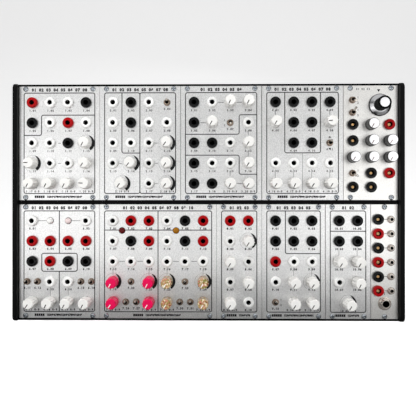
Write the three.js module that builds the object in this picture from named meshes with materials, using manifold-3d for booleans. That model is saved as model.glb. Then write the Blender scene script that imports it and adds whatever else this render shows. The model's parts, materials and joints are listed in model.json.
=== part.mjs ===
// A desktop modular synthesizer: two rows of panel modules in a shallow case with side cheeks.
// Millimetres, +X to the right, +Z up. The controls face -Y and the case stands on its cheeks.
import * as THREE from 'three';
import { mergeVertices } from 'three/addons/utils/BufferGeometryUtils.js';
import Module from 'manifold-3d';

const wasm = await Module();
wasm.setup();

// Case and rows
const slotWidth = 5.08;
const slotsInRow = 84;
const panelHeight = 128.5;
const rowGap = 4.85;
const panelThickness = 2;
const panelSideGap = 0.3;
const caseDepth = 110;
const cheekThickness = 5;
const cheekProud = 8;
const cheekCorner = 6;
const cheekRound = 1.5;
const seatGap = 0.3;

// Rails that carry the panel edges
const railDepth = 18;
const railHeight = 12;
const railNoseDepth = 9;
const lipProud = 1;
const stripSlotHeight = 5;
const stripSlotDepth = 6;
const stripMouthHeight = 2.8;
const stripMouthDepth = 1.6;
const stripLine = 3.2;

// Folded rear shell
const shellThickness = 1.5;
const shellBend = 3;
const shellInset = 0.4;
const shellBackInset = 0.5;

// Grid of controls on a module
const slotsPerColumn = 4;
const controlRows = 5;
const controlRowShare = 0.178;
const togglePairPitch = 11.8;

// Banana jack
const jackRadius = 6.1;
const jackShoulder = 4.4;
const jackBoreRadius = 2.2;
const jackBoreDepth = 5.8;
const jackSides = 7;
const boreSides = 5;

// Mini jack and large phone jack, each a threaded barrel that stands out of its nut
const miniNutRadius = 4.2;
const miniNutHeight = 2.2;
const miniBarrelRadius = 3;
const miniBarrelHeight = 4.5;
const miniBoreRadius = 1.8;
const miniBoreDepth = 5.8;
const phoneNutRadius = 7.6;
const phoneNutHeight = 3.2;
const phoneBarrelRadius = 4.8;
const phoneBarrelHeight = 6.4;
const phoneSides = 8;
const phoneBoreRadius = 3.3;
const phoneBoreDepth = 23.2;
const phoneBodyWidth = 14;
const phoneBodyDepth = 24;
const phoneRailGap = 0.9;
const nutSides = 6;

// Knobs
const knobHeight = 17.5;
const knobFootRadius = 6.6;
const knobShoulderRadius = 6.3;
const knobShoulderHeight = 16.3;
const knobCapRadius = 5.1;
const knobLift = 0.5;
const knobFluteShare = 0.1;
const knobLobes = 5;
const knobTurnSteps = 2 * knobLobes;
const pointerWidth = 0.9;
const pointerDepth = 0.6;
const pointerStartShare = 0.12;
const pointerLowAngle = -150;
const pointerSideAngle = -90;
const shaftRadius = 3;
const shaftClearance = 0.3;
const shaftReach = 8;
const shaftSides = 6;

// Straight knobs with a raised metal cap
const cappedKnobHeight = 14.6;
const cappedKnobFootRadius = 6.5;
const cappedKnobRimRadius = 6.1;
const cappedKnobRimHeight = 13.7;
const metalCapRadius = 5.5;
const metalCapSides = 8;

// Large dial
const dialSkirtRadius = 12.4;
const dialSkirtHeight = 2.2;
const dialSkirtRim = 1;
const dialFootRadius = 8.2;
const dialTopRadius = 6.9;
const dialHeight = 19;
const dialCapRadius = 5.7;
const dialCapHeight = 0.5;
const dialFluteShare = 0.05;
const dialSteps = 16;

// Toggle switch
const toggleNutRadius = 3.9;
const toggleNutHeight = 1.6;
const toggleBushRadius = 2.9;
const toggleBushHeight = 5.4;
const toggleBoreRadius = 2.1;
const toggleBoreDepth = 5.2;
const togglePivotHeight = 2.1;
const leverRootRadius = 0.8;
const leverTipRadius = 1.25;
const leverTail = 1.5;
const leverLength = 9.6;
const longLeverTipRadius = 1.5;
const longLeverLength = 15;
const leverTilt = 12;
const bushSides = 6;
const leverSides = 6;

// Indicator lamp
const lampRadius = 2.5;
const lampTipRadius = 1.6;
const lampHeight = 2.8;

// Circuit board behind each panel
const boardGap = 12;
const boardThickness = 1.6;
const boardSideInset = 3;
const boardRailGap = 4.5;
const postWidth = 5;
const postInset = 2;
const headerWidth = 22;
const headerHeight = 9;
const headerDepth = 9;

// Supply boards on the rear wall
const supplySideInset = 23;
const supplyHeight = 46;
const supplyStandoff = 8;
const supplyPostInset = 12;
const supplyHeaders = 6;
const supplyHeaderShare = 0.153;

// Power inlet and rocker switch in the rear wall
const inletSideInset = 27;
const inletSupplyGap = 3;
const inletFlangeRadius = 8;
const inletFlangeHeight = 2;
const inletBarrelRadius = 5.8;
const inletBarrelDepth = 12;
const inletBoreRadius = 3.1;
const inletBoreDepth = 9;
const inletPinRadius = 1.05;
const inletPinShare = 0.85;
const inletSteps = 8;
const switchSpacing = 28;
const switchWidth = 13;
const switchTall = 19;
const switchDepth = 15;
const switchRim = 1.4;
const switchRimHeight = 1.8;
const switchHole = 0.4;
const rockerWidth = 8.8;
const rockerHalf = 6.6;
const rockerPivotDepth = 3;
const rockerSwing = 9;
const rockerClearance = 0.4;
const rockerSteps = 5;

// One overrun serves all cuts, and joined shapes reach this far into each other
const cutOverrun = 1;
const joinDepth = 0.5;

// Sizes worked out from the above
const rowWidth = slotsInRow * slotWidth;
const rowPitch = panelHeight + rowGap;
const caseHeight = 2 * rowPitch;
const columnPitch = slotsPerColumn * slotWidth;
const controlRowPitch = controlRowShare * panelHeight;
const boardHeight = rowPitch - 2 * (railHeight + boardRailGap);
const phoneDrop = (rowPitch + panelHeight) / 2 - railHeight - phoneRailGap - phoneBodyWidth / 2;
const phoneDropShare = phoneDrop / panelHeight;
const supplyWidth = rowWidth - 2 * supplySideInset;
const supplyHeaderPitch = supplyHeaderShare * supplyWidth;
const inletOffset = rowWidth / 2 - inletSideInset;
const inletLine = (rowPitch - supplyHeight - switchTall) / 2 - inletSupplyGap;
const switchOffset = inletOffset - switchSpacing;
const rearPlane = caseDepth - cheekProud;
const railFront = panelThickness + seatGap;
const boardFront = panelThickness + boardGap;
const edgeLip = rowGap / 2;
const shaftHoleRadius = (shaftRadius + shaftClearance) / Math.cos(Math.PI / shaftSides);

// The narrow output module: six banana jacks beside six mini jacks, and one large jack
const outputPairs = 6;
const outputFirstDropShare = 0.131;
const outputPitchShare = 0.1245;
const outputBananaShare = 0.253;
const outputMiniShare = 0.735;
const outputPhoneShare = 0.5;

// Each module's width, and its control rows from the top: j jack, m mini jack, p large jack,
// k knob with its pointer low on the left, q knob with its pointer at nine o'clock, d dial,
// t toggle set up, v toggle set down, tt a pair of toggles, o lamp, - nothing. Controls that
// lie between columns or rows, or off the grid, are listed apart. Knobs and levers of a
// jointed module are pieces of their own, the knobs of a capped one carry a metal cap, and its
// levers are long.
const upperModules = [
  {
    slots: 18,
    jointed: true,
    rows: ['j j j j', 'j j j j', 'j j j k', 'q j j k', 'k k k q'],
  },
  {
    slots: 18,
    jointed: true,
    rows: ['j j j t', 'j j j j', 'j j j k', 'j k j k', '- - j k'],
    between: [{ kind: 'k', column: 0.5, row: 4 }],
  },
  {
    slots: 18,
    rows: ['j j k k', 'j k v j', 'j j j k', 'j j j k', 'j j k k'],
  },
  {
    slots: 18,
    rows: ['j j j j', 'k j j q', '- j j t', 'j j j j', 'k k k k'],
  },
  {
    slots: 12,
    jointed: true,
    knobs: ['darkKnob', 'darkKnob'],
    capped: true,
    columns: 3,
    drops: [
      { kinds: 'v', dropShare: 0.126 },
      { kinds: 't', dropShare: 0.236 },
      { kinds: 'd', from: 1.5, dropShare: 0.17 },
      { kinds: 'jkj', dropShare: 0.342 },
      { kinds: 'jkk', dropShare: 0.483 },
      { kinds: 'kkk', dropShare: 0.627 },
      { kinds: 'vjj', dropShare: 0.765 },
      { kinds: 'jj-', dropShare: 0.887 },
    ],
  },
];
const lowerModules = [
  {
    slots: 18,
    rows: ['j o o j', 'j j j j', 'j j j j', 'tt j j tt', 'k k k k'],
  },
  {
    slots: 26,
    jointed: true,
    knobs: ['pinkKnob', 'goldKnob'],
    rows: ['j j j j j j', 'j j j j j j', 'j j j j j j', 'k t k k t k', 'k tt k k tt k'],
    between: [
      { kind: 'o', column: 0.5, row: 0.5 },
      { kind: 'o', column: 3.5, row: 0.5 },
    ],
  },
  { slots: 10, rows: ['j j', 'j k', 'k j', 'j k', 'k j'] },
  { slots: 14, rows: ['j j j', 'j j j', 'j j j', 'j k k', 't k k'] },
  {
    slots: 10,
    rows: ['j j', 'j j', 'k k', 'j k', '- -'],
    between: [{ kind: 'k', column: 0.5, row: 4.05 }],
  },
  { slots: 6, places: outputStrip() },
];

function outputStrip() {
  const list = [{ kind: 'p', leftShare: outputPhoneShare, dropShare: phoneDropShare }];
  for (let pair = 0; pair < outputPairs; pair += 1) {
    const dropShare = outputFirstDropShare + pair * outputPitchShare;
    list.push({ kind: 'j', leftShare: outputBananaShare, dropShare });
    list.push({ kind: 'm', leftShare: outputMiniShare, dropShare });
  }
  return list;
}

// Solids: a closed geometry becomes a solid for joining and cutting, and a solid a geometry
function solidOf(geometry) {
  const bare = new THREE.BufferGeometry();
  bare.setAttribute('position', geometry.getAttribute('position'));
  bare.setIndex(geometry.getIndex());
  const welded = mergeVertices(bare);
  return new wasm.Manifold(
    new wasm.Mesh({
      numProp: 3,
      vertProperties: new Float32Array(welded.getAttribute('position').array),
      triVerts: new Uint32Array(welded.getIndex().array),
    }),
  );
}

function geometryOf(solid) {
  const mesh = solid.getMesh();
  const geometry = new THREE.BufferGeometry();
  geometry.setAttribute('position', new THREE.BufferAttribute(mesh.vertProperties, 3));
  geometry.setIndex(new THREE.BufferAttribute(mesh.triVerts, 1));
  geometry.computeVertexNormals();
  return geometry;
}

// A box given by its lowest and highest corner
function block(low, high) {
  const size = high.map((value, axis) => value - low[axis]);
  const middle = high.map((value, axis) => (value + low[axis]) / 2);
  return solidOf(new THREE.BoxGeometry(...size).translate(...middle));
}

// A revolved form standing on the panel: its profile is [radius, height] pairs, and height
// grows towards the viewer. The first and last points lie on the axis.
function revolved(profile, sides) {
  const points = profile.map(([radius, height]) => new THREE.Vector2(radius, height));
  return new THREE.LatheGeometry(points, sides).rotateX(Math.PI);
}

function turned(profile, sides, x = 0, z = 0) {
  return solidOf(revolved(profile, sides).translate(x, 0, z));
}

function pin(radius, from, to, sides, x = 0, z = 0) {
  return turned([[0, from], [radius, from], [radius, to], [0, to]], sides, x, z);
}

// Every second corner of a many-sided turned shape moves in, which gives it lobes. The
// profile's third value says whether that height is lobed.
function fluted(profile, steps, share, x = 0, z = 0) {
  const geometry = revolved(profile, steps);
  const position = geometry.getAttribute('position');
  for (let index = 0; index < position.count; index += 1) {
    const ring = Math.floor(index / profile.length) % steps;
    const onFlute = ring % 2 === 1 && profile[index % profile.length][2];
    const scale = onFlute ? 1 - share : 1;
    position.setX(index, position.getX(index) * scale);
    position.setZ(index, position.getZ(index) * scale);
  }
  return solidOf(geometry.translate(x, 0, z));
}

// An outline drawn in depth (Y) and height (Z), run along the width
function alongWidth(shape, length, options = {}) {
  const geometry = new THREE.ExtrudeGeometry(shape, {
    depth: length,
    bevelEnabled: false,
    ...options,
  });
  const depthAxis = new THREE.Vector3(0, 1, 0);
  const heightAxis = new THREE.Vector3(0, 0, 1);
  const widthAxis = new THREE.Vector3(1, 0, 0);
  return geometry.applyMatrix4(new THREE.Matrix4().makeBasis(depthAxis, heightAxis, widthAxis));
}

function material(color, roughness, metalness) {
  return new THREE.MeshStandardMaterial({ color, roughness, metalness, flatShading: true });
}

const finishes = {
  case: () => material(0x141414, 0.45, 0.3),
  rail: () => material(0x101010, 0.4, 0.6),
  panel: () => material(0xdcdcda, 0.42, 0.7),
  whiteKnob: () => material(0xf4f4f2, 0.35, 0),
  pinkKnob: () => material(0xff1f6e, 0.4, 0),
  goldKnob: () => material(0xd8b88a, 0.35, 0.1),
  darkKnob: () => material(0x3c3d3e, 0.5, 0.1),
  dial: () => material(0xb9babb, 0.3, 0.8),
  lever: () => material(0xb8b4aa, 0.25, 0.9),
  board: () => material(0x1d4d33, 0.6, 0),
  plastic: () => material(0x1b1b1c, 0.5, 0),
};

const instrument = new THREE.Group();

function place(name, geometry, finish, position = [0, 0, 0], tilt = 0) {
  const mesh = new THREE.Mesh(geometry, finishes[finish]());
  mesh.name = name;
  mesh.position.set(...position);
  mesh.rotation.x = tilt;
  instrument.add(mesh);
  return mesh;
}

// Module controls

function bananaJack(x, z) {
  const body = pin(jackRadius, -joinDepth, jackShoulder, jackSides, x, z);
  const floor = jackShoulder - jackBoreDepth;
  const bore = pin(jackBoreRadius, floor, jackShoulder + cutOverrun, boreSides, x, z);
  return { add: [body], cut: [bore] };
}

function miniJack(x, z) {
  const nut = pin(miniNutRadius, -joinDepth, miniNutHeight, nutSides, x, z);
  const barrel = pin(miniBarrelRadius, 0, miniBarrelHeight, jackSides, x, z);
  const floor = miniBarrelHeight - miniBoreDepth;
  const bore = pin(miniBoreRadius, floor, miniBarrelHeight + cutOverrun, boreSides, x, z);
  return { add: [nut, barrel], cut: [bore] };
}

function phoneJack(x, z) {
  const half = phoneBodyWidth / 2;
  const backStart = panelThickness - joinDepth;
  const body = block([x - half, backStart, z - half], [x + half, backStart + phoneBodyDepth, z + half]);
  const nut = pin(phoneNutRadius, -joinDepth, phoneNutHeight, nutSides, x, z);
  const barrel = pin(phoneBarrelRadius, 0, phoneBarrelHeight, phoneSides, x, z);
  const floor = phoneBarrelHeight - phoneBoreDepth;
  const bore = pin(phoneBoreRadius, floor, phoneBarrelHeight + cutOverrun, phoneSides, x, z);
  return { add: [body, nut, barrel], cut: [bore] };
}

function lamp(x, z) {
  const profile = [
    [0, -joinDepth],
    [lampRadius, -joinDepth],
    [lampRadius, lampHeight / 2],
    [lampTipRadius, lampHeight],
    [0, lampHeight],
  ];
  return { add: [turned(profile, bushSides, x, z)], cut: [] };
}

function toggleBush(x, z) {
  const nut = pin(toggleNutRadius, -joinDepth, toggleNutHeight, nutSides, x, z);
  const bush = pin(toggleBushRadius, 0, toggleBushHeight, bushSides, x, z);
  const floor = toggleBushHeight - toggleBoreDepth;
  const bore = pin(toggleBoreRadius, floor, toggleBushHeight + cutOverrun, bushSides, x, z);
  return { add: [nut, bush], cut: [bore] };
}

// A lever that tapers towards its root, its origin at its pivot
function toggleLever(tail, length = leverLength, tipRadius = leverTipRadius) {
  return revolved(
    [[0, -tail], [leverRootRadius, -tail], [tipRadius, length], [0, length]],
    leverSides,
  );
}

function longLever(tail) {
  return toggleLever(tail, longLeverLength, longLeverTipRadius);
}

// A knob's body: lobed sides, eased shoulder and flat top, its foot at a height over the panel
function knobBody(foot, lift = 0, x = 0, z = 0) {
  const profile = [
    [0, foot, false],
    [knobFootRadius, foot, true],
    [knobShoulderRadius, lift + knobShoulderHeight, true],
    [knobCapRadius, lift + knobHeight, false],
    [0, lift + knobHeight, false],
  ];
  return fluted(profile, knobTurnSteps, knobFluteShare, x, z);
}

// A straight lobed body with a smooth metal disc let into its top
function cappedKnobBody() {
  const body = fluted([
    [0, 0, false],
    [cappedKnobFootRadius, 0, true],
    [cappedKnobRimRadius, cappedKnobRimHeight, true],
    [0, cappedKnobRimHeight, false],
  ], knobTurnSteps, knobFluteShare);
  return body.add(pin(metalCapRadius, cappedKnobRimHeight - joinDepth, cappedKnobHeight, metalCapSides));
}

// The groove of the pointer, from near the middle of a flat top to its rim
function pointerCut(kind, topHeight, topRadius) {
  const angle = kind === 'q' ? pointerSideAngle : pointerLowAngle;
  const start = topRadius * pointerStartShare;
  const length = topRadius - start;
  const bar = new THREE.BoxGeometry(pointerWidth, pointerDepth + cutOverrun, length);
  bar.translate(0, (pointerDepth - cutOverrun) / 2 - topHeight, start + length / 2);
  return solidOf(bar.rotateY(THREE.MathUtils.degToRad(angle)));
}

function knobWithShaft(kind, capped) {
  const body = capped ? cappedKnobBody() : knobBody(0);
  const topHeight = capped ? cappedKnobHeight : knobHeight;
  const topRadius = capped ? metalCapRadius : knobCapRadius;
  const shaft = pin(shaftRadius, -knobLift - shaftReach, joinDepth, shaftSides);
  return body.subtract(pointerCut(kind, topHeight, topRadius)).add(shaft);
}

// A knob that stays with its panel, its foot in the plate
function fixedKnob(x, z) {
  return knobBody(-joinDepth, knobLift, x, z);
}

function dialWithShaft() {
  const skirtRise = dialSkirtHeight - dialSkirtRim;
  const skirtProfile = [
    [0, 0],
    [dialSkirtRadius, 0],
    [dialSkirtRadius, skirtRise],
    [dialFootRadius, dialSkirtHeight],
    [0, dialSkirtHeight],
  ];
  const skirt = turned(skirtProfile, dialSteps);
  const grip = fluted(
    [[0, 0, false], [dialFootRadius, 0, true], [dialTopRadius, dialHeight, true], [0, dialHeight, false]],
    dialSteps, dialFluteShare,
  );
  const cap = pin(dialCapRadius, dialHeight - joinDepth, dialHeight + dialCapHeight, dialSteps);
  const shaft = pin(shaftRadius, -knobLift - shaftReach, joinDepth, shaftSides);
  return skirt.add(grip).add(cap).add(shaft);
}

// Where each control of a module sits, from the panel's centre

function placesOf(module) {
  const width = module.slots * slotWidth;
  const columns = module.columns ?? module.rows?.[0].split(' ').length ?? 1;
  const columnX = (column) => (column - (columns - 1) / 2) * columnPitch;
  const rowZ = (row) => ((controlRows - 1) / 2 - row) * controlRowPitch;
  const list = [];
  (module.rows ?? []).forEach((line, row) => {
    line.split(' ').forEach((kind, column) => {
      const shifts = kind === 'tt' ? [-togglePairPitch / 2, togglePairPitch / 2] : [0];
      shifts.forEach((shift) => {
        list.push({ kind: kind[0], x: columnX(column) + shift, z: rowZ(row) });
      });
    });
  });
  (module.between ?? []).forEach(({ kind, column, row }) => {
    list.push({ kind, x: columnX(column), z: rowZ(row) });
  });
  (module.drops ?? []).forEach(({ kinds, from = 0, dropShare }) => {
    [...kinds].forEach((kind, index) => {
      list.push({ kind, x: columnX(from + index), z: (1 / 2 - dropShare) * panelHeight });
    });
  });
  (module.places ?? []).forEach(({ kind, leftShare, dropShare }) => {
    list.push({ kind, x: (leftShare - 1 / 2) * width, z: (1 / 2 - dropShare) * panelHeight });
  });
  return list.filter(({ kind }) => kind !== '-');
}

function isKnob({ kind }) {
  return kind === 'k' || kind === 'q';
}

function isToggle({ kind }) {
  return kind === 't' || kind === 'v';
}

// Panel, circuit board and fixed controls of one module

function modulePanel(module, places) {
  const halfWidth = (module.slots * slotWidth - panelSideGap) / 2;
  const halfHeight = panelHeight / 2;
  const boardHalf = halfWidth - boardSideInset;
  const boardBack = boardFront + boardThickness;
  const postOuter = boardHalf - postInset;
  const postInner = postOuter - postWidth;
  const postTop = boardHeight / 2 - postInset;
  const postBottom = postTop - postWidth;
  const postFrom = panelThickness - joinDepth;
  const postTo = boardFront + joinDepth;
  const adds = [
    block([-boardHalf, boardFront, -boardHeight / 2], [boardHalf, boardBack, boardHeight / 2]),
    block([-postOuter, postFrom, postBottom], [-postInner, postTo, postTop]),
    block([postInner, postFrom, -postTop], [postOuter, postTo, -postBottom]),
    block(
      [-headerWidth / 2, boardBack - joinDepth, -headerHeight / 2],
      [headerWidth / 2, boardBack + headerDepth, headerHeight / 2],
    ),
  ];
  const cuts = [];
  const makers = {
    j: bananaJack, m: miniJack, p: phoneJack, o: lamp, t: toggleBush, v: toggleBush,
  };
  places.forEach((control) => {
    const { kind, x, z } = control;
    if (isKnob(control) && !module.jointed) {
      adds.push(fixedKnob(x, z));
    } else if (isKnob(control) || kind === 'd') {
      cuts.push(pin(shaftHoleRadius, -panelThickness - cutOverrun, cutOverrun, shaftSides, x, z));
    } else {
      const piece = makers[kind](x, z);
      adds.push(...piece.add);
      cuts.push(...piece.cut);
    }
  });
  const plate = block([-halfWidth, 0, -halfHeight], [halfWidth, panelThickness, halfHeight]);
  const joined = adds.reduce((solid, piece) => solid.add(piece), plate);
  const open = cuts.reduce((solid, piece) => solid.subtract(piece), joined);
  const levers = module.jointed ? [] : places.filter(isToggle);
  return levers.reduce((solid, { kind, x, z }) => solid.add(fixedLever(kind, x, z)), open);
}

// A lever that stays with its bush: its tail goes through the bore's floor into the panel
function fixedLever(kind, x, z) {
  const lever = toggleLever(togglePivotHeight + panelThickness / 2);
  return solidOf(lever.rotateX(leverAngle(kind)).translate(x, -togglePivotHeight, z));
}

function leverAngle(kind) {
  return THREE.MathUtils.degToRad(kind === 'v' ? leverTilt : -leverTilt);
}

function placeModule(prefix, module, centreX, centreZ) {
  const places = placesOf(module);
  place(`${prefix}_panel`, geometryOf(modulePanel(module, places)), 'panel', [centreX, 0, centreZ]);
  if (!module.jointed) {
    return;
  }
  places.filter(isKnob).forEach(({ kind, x, z }, index) => {
    const finish = knobFinish(module, x);
    const at = [centreX + x, -knobLift, centreZ + z];
    const knob = geometryOf(knobWithShaft(kind, module.capped));
    place(`${prefix}_knob_${index + 1}`, knob, finish, at);
  });
  places.filter(isToggle).forEach(({ kind, x, z }, index) => {
    const at = [centreX + x, -togglePivotHeight, centreZ + z];
    const lever = module.capped ? longLever(leverTail) : toggleLever(leverTail);
    place(`${prefix}_toggle_${index + 1}`, geometryOf(solidOf(lever)), 'lever', at, leverAngle(kind));
  });
  places.filter(({ kind }) => kind === 'd').forEach(({ x, z }) => {
    const at = [centreX + x, -knobLift, centreZ + z];
    place(`${prefix}_dial`, geometryOf(dialWithShaft()), 'dial', at);
  });
}

// A module may name two knob finishes, one for its left half and one for its right half
function knobFinish(module, x) {
  const [left, right] = module.knobs ?? ['whiteKnob', 'whiteKnob'];
  return x < 0 ? left : right;
}

function placeRow(label, modules, centreZ) {
  let left = -rowWidth / 2;
  modules.forEach((module, index) => {
    const width = module.slots * slotWidth;
    placeModule(`${label}_${index + 1}`, module, left + width / 2, centreZ);
    left += width;
  });
}

// Case

function cheek() {
  const front = -cheekProud;
  const back = rearPlane;
  const inset = cheekCorner;
  const shape = new THREE.Shape();
  shape.moveTo(front + inset, 0);
  shape.lineTo(back - inset, 0);
  shape.absarc(back - inset, inset, inset, -Math.PI / 2, 0, false);
  shape.absarc(back - inset, caseHeight - inset, inset, 0, Math.PI / 2, false);
  shape.absarc(front + inset, caseHeight - inset, inset, Math.PI / 2, Math.PI, false);
  shape.absarc(front + inset, inset, inset, Math.PI, Math.PI * 1.5, false);
  return alongWidth(shape, cheekThickness - 2 * cheekRound, {
    bevelEnabled: true,
    bevelThickness: cheekRound,
    bevelSize: cheekRound,
    bevelOffset: -cheekRound,
    bevelSegments: 1,
    curveSegments: 3,
  }).translate(cheekRound, 0, 0);
}

// A closed outline through [depth, height] pairs
function outline(points) {
  return new THREE.Shape(points.map(([depth, height]) => new THREE.Vector2(depth, height)));
}

// The T-slot that holds a rail's threaded strip, open towards the panel
function stripSlot(line) {
  const start = railFront - cutOverrun;
  const mouth = stripMouthHeight / 2;
  const half = stripSlotHeight / 2;
  const throat = railFront + stripMouthDepth;
  const end = throat + stripSlotDepth;
  const shape = outline([
    [start, line - mouth], [throat, line - mouth], [throat, line - half], [end, line - half],
    [end, line + half], [throat, line + half], [throat, line + mouth], [start, line + mouth],
  ]);
  return solidOf(alongWidth(shape, rowWidth + 2 * cutOverrun).translate(-rowWidth / 2 - cutOverrun, 0, 0));
}

// An edge rail, drawn for the top of the case: lip, nose and a step that the shell overlaps
function edgeRail(sign, edge) {
  const outer = edge - sign * shellInset;
  const lipInner = edge - sign * (edgeLip - seatGap);
  const step = outer - sign * (shellThickness + seatGap);
  const inner = edge - sign * railHeight;
  const shape = outline([
    [-lipProud, outer],
    [-lipProud, lipInner],
    [railFront, lipInner],
    [railFront, inner],
    [railFront + railDepth, inner],
    [railFront + railDepth, step],
    [railFront + railNoseDepth, step],
    [railFront + railNoseDepth, outer],
  ]);
  const bar = solidOf(alongWidth(shape, rowWidth).translate(-rowWidth / 2, 0, 0));
  return bar.subtract(stripSlot(edge - sign * (edgeLip + stripLine)));
}

function centreRail() {
  const lip = edgeLip - seatGap;
  const shape = outline([
    [-lipProud, rowPitch - lip],
    [railFront, rowPitch - lip],
    [railFront, rowPitch - railHeight],
    [railFront + railDepth, rowPitch - railHeight],
    [railFront + railDepth, rowPitch + railHeight],
    [railFront, rowPitch + railHeight],
    [railFront, rowPitch + lip],
    [-lipProud, rowPitch + lip],
  ]);
  const bar = solidOf(alongWidth(shape, rowWidth).translate(-rowWidth / 2, 0, 0));
  const slots = [-1, 1].map((side) => stripSlot(rowPitch + side * (edgeLip + stripLine)));
  return slots.reduce((solid, slot) => solid.subtract(slot), bar);
}

// Top, back and bottom of the case, folded from one sheet
function rearShell() {
  const front = railFront + railNoseDepth + seatGap;
  const back = rearPlane - shellBackInset;
  const low = shellInset;
  const high = caseHeight - shellInset;
  const bend = shellBend;
  const wall = shellThickness;
  const shape = new THREE.Shape();
  shape.moveTo(front, low);
  shape.absarc(back - bend, low + bend, bend, -Math.PI / 2, 0, false);
  shape.absarc(back - bend, high - bend, bend, 0, Math.PI / 2, false);
  shape.lineTo(front, high);
  shape.lineTo(front, high - wall);
  shape.absarc(back - bend, high - bend, bend - wall, Math.PI / 2, 0, true);
  shape.absarc(back - bend, low + bend, bend - wall, 0, -Math.PI / 2, true);
  shape.lineTo(front, low + wall);
  const width = rowWidth;
  const sheet = solidOf(alongWidth(shape, width, { curveSegments: 3 }).translate(-width / 2, 0, 0));
  const holeRadius = inletBarrelRadius + seatGap;
  const holeEnd = wall + cutOverrun - back;
  const inletHole = pin(holeRadius, -back - cutOverrun, holeEnd, inletSteps, inletOffset, inletLine);
  const halfWidth = switchWidth / 2 + switchHole;
  const halfTall = switchTall / 2 + switchHole;
  const switchCut = block(
    [switchOffset - halfWidth, back - wall - cutOverrun, inletLine - halfTall],
    [switchOffset + halfWidth, back + cutOverrun, inletLine + halfTall],
  );
  return sheet.subtract(inletHole).subtract(switchCut);
}

// Everything on the rear wall is drawn with its height growing towards the rear
function rearTurned(profile, sides) {
  const points = profile.map(([radius, height]) => new THREE.Vector2(radius, height));
  return solidOf(new THREE.LatheGeometry(points, sides));
}

function powerInlet() {
  const pinTop = inletFlangeHeight - inletBoreDepth * (1 - inletPinShare);
  const floor = inletFlangeHeight - inletBoreDepth;
  return rearTurned([
    [0, -inletBarrelDepth],
    [inletBarrelRadius, -inletBarrelDepth],
    [inletBarrelRadius, 0],
    [inletFlangeRadius, 0],
    [inletFlangeRadius, inletFlangeHeight],
    [inletBoreRadius, inletFlangeHeight],
    [inletBoreRadius, floor],
    [inletPinRadius, floor],
    [inletPinRadius, pinTop],
    [0, pinTop],
  ], inletSteps);
}

function switchHousing() {
  const halfWidth = switchWidth / 2;
  const halfTall = switchTall / 2;
  const rim = block(
    [-halfWidth - switchRim, 0, -halfTall - switchRim],
    [halfWidth + switchRim, switchRimHeight, halfTall + switchRim],
  );
  const body = block([-halfWidth, -switchDepth, -halfTall], [halfWidth, joinDepth, halfTall]);
  const wellWidth = rockerWidth / 2 + rockerClearance;
  const wellTall = Math.hypot(rockerHalf, rockerPivotDepth) + rockerClearance;
  const wellFloor = switchRimHeight - rockerPivotDepth - rockerHalf - rockerClearance;
  const well = block(
    [-wellWidth, wellFloor, -wellTall], [wellWidth, switchRimHeight + cutOverrun, wellTall],
  );
  return rim.add(body).subtract(well);
}

// A rocker with a round belly about its pivot and two faces that meet in a shallow valley
function rocker() {
  const shape = new THREE.Shape();
  shape.moveTo(rockerPivotDepth, rockerHalf);
  shape.absarc(0, 0, rockerHalf, Math.PI / 2, Math.PI * 1.5, false);
  shape.lineTo(rockerPivotDepth, -rockerHalf);
  const valleyDepth = Math.tan(THREE.MathUtils.degToRad(rockerSwing)) * rockerHalf;
  shape.lineTo(rockerPivotDepth - valleyDepth, 0);
  const geometry = alongWidth(shape, rockerWidth, { curveSegments: rockerSteps });
  return geometry.translate(-rockerWidth / 2, 0, 0);
}

function supplyBoard() {
  const half = supplyWidth / 2;
  const back = -supplyStandoff;
  const front = back - boardThickness;
  const adds = [];
  for (let index = 0; index < supplyHeaders; index += 1) {
    const x = (index - (supplyHeaders - 1) / 2) * supplyHeaderPitch;
    adds.push(block(
      [x - headerWidth / 2, front - headerDepth, -headerHeight / 2],
      [x + headerWidth / 2, front + joinDepth, headerHeight / 2],
    ));
  }
  const postX = half - supplyPostInset;
  const postZ = supplyHeight / 2 - supplyPostInset;
  [-postX, postX].forEach((x) => {
    [-postZ, postZ].forEach((z) => {
      adds.push(block(
        [x - postWidth / 2, back - joinDepth, z - postWidth / 2],
        [x + postWidth / 2, -seatGap, z + postWidth / 2],
      ));
    });
  });
  const board = block([-half, front, -supplyHeight / 2], [half, back, supplyHeight / 2]);
  return adds.reduce((solid, piece) => solid.add(piece), board);
}

// Assembly

place('left_cheek', cheek(), 'case', [-rowWidth / 2 - seatGap - cheekThickness, 0, 0]);
place('right_cheek', cheek(), 'case', [rowWidth / 2 + seatGap, 0, 0]);
place('top_rail', geometryOf(edgeRail(1, caseHeight)), 'rail');
place('centre_rail', geometryOf(centreRail()), 'rail');
place('bottom_rail', geometryOf(edgeRail(-1, 0)), 'rail');
place('rear_shell', geometryOf(rearShell()), 'case');

const shellBack = rearPlane - shellBackInset;
const shellInside = shellBack - shellThickness;
place('upper_supply_board', geometryOf(supplyBoard()), 'board', [0, shellInside, rowPitch * 1.5]);
place('lower_supply_board', geometryOf(supplyBoard()), 'board', [0, shellInside, rowPitch / 2]);
const rearSeat = shellBack + seatGap;
place('power_inlet', geometryOf(powerInlet()), 'plastic', [inletOffset, rearSeat, inletLine]);
place('switch_housing', geometryOf(switchHousing()), 'plastic', [switchOffset, rearSeat, inletLine]);
const rockerPivot = rearSeat + switchRimHeight - rockerPivotDepth;
const rockerTilt = THREE.MathUtils.degToRad(rockerSwing);
place('power_rocker', rocker(), 'plastic', [switchOffset, rockerPivot, inletLine], rockerTilt);

placeRow('upper', upperModules, rowPitch * 1.5);
placeRow('lower', lowerModules, rowPitch / 2);

// The origin is at the bottom, in the middle of the width and of the whole depth
const frontReach = knobLift + dialHeight + dialCapHeight;
const backReach = rearSeat + Math.max(inletFlangeHeight, switchRimHeight);
instrument.position.y = (frontReach - backReach) / 2;

export default instrument;
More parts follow.
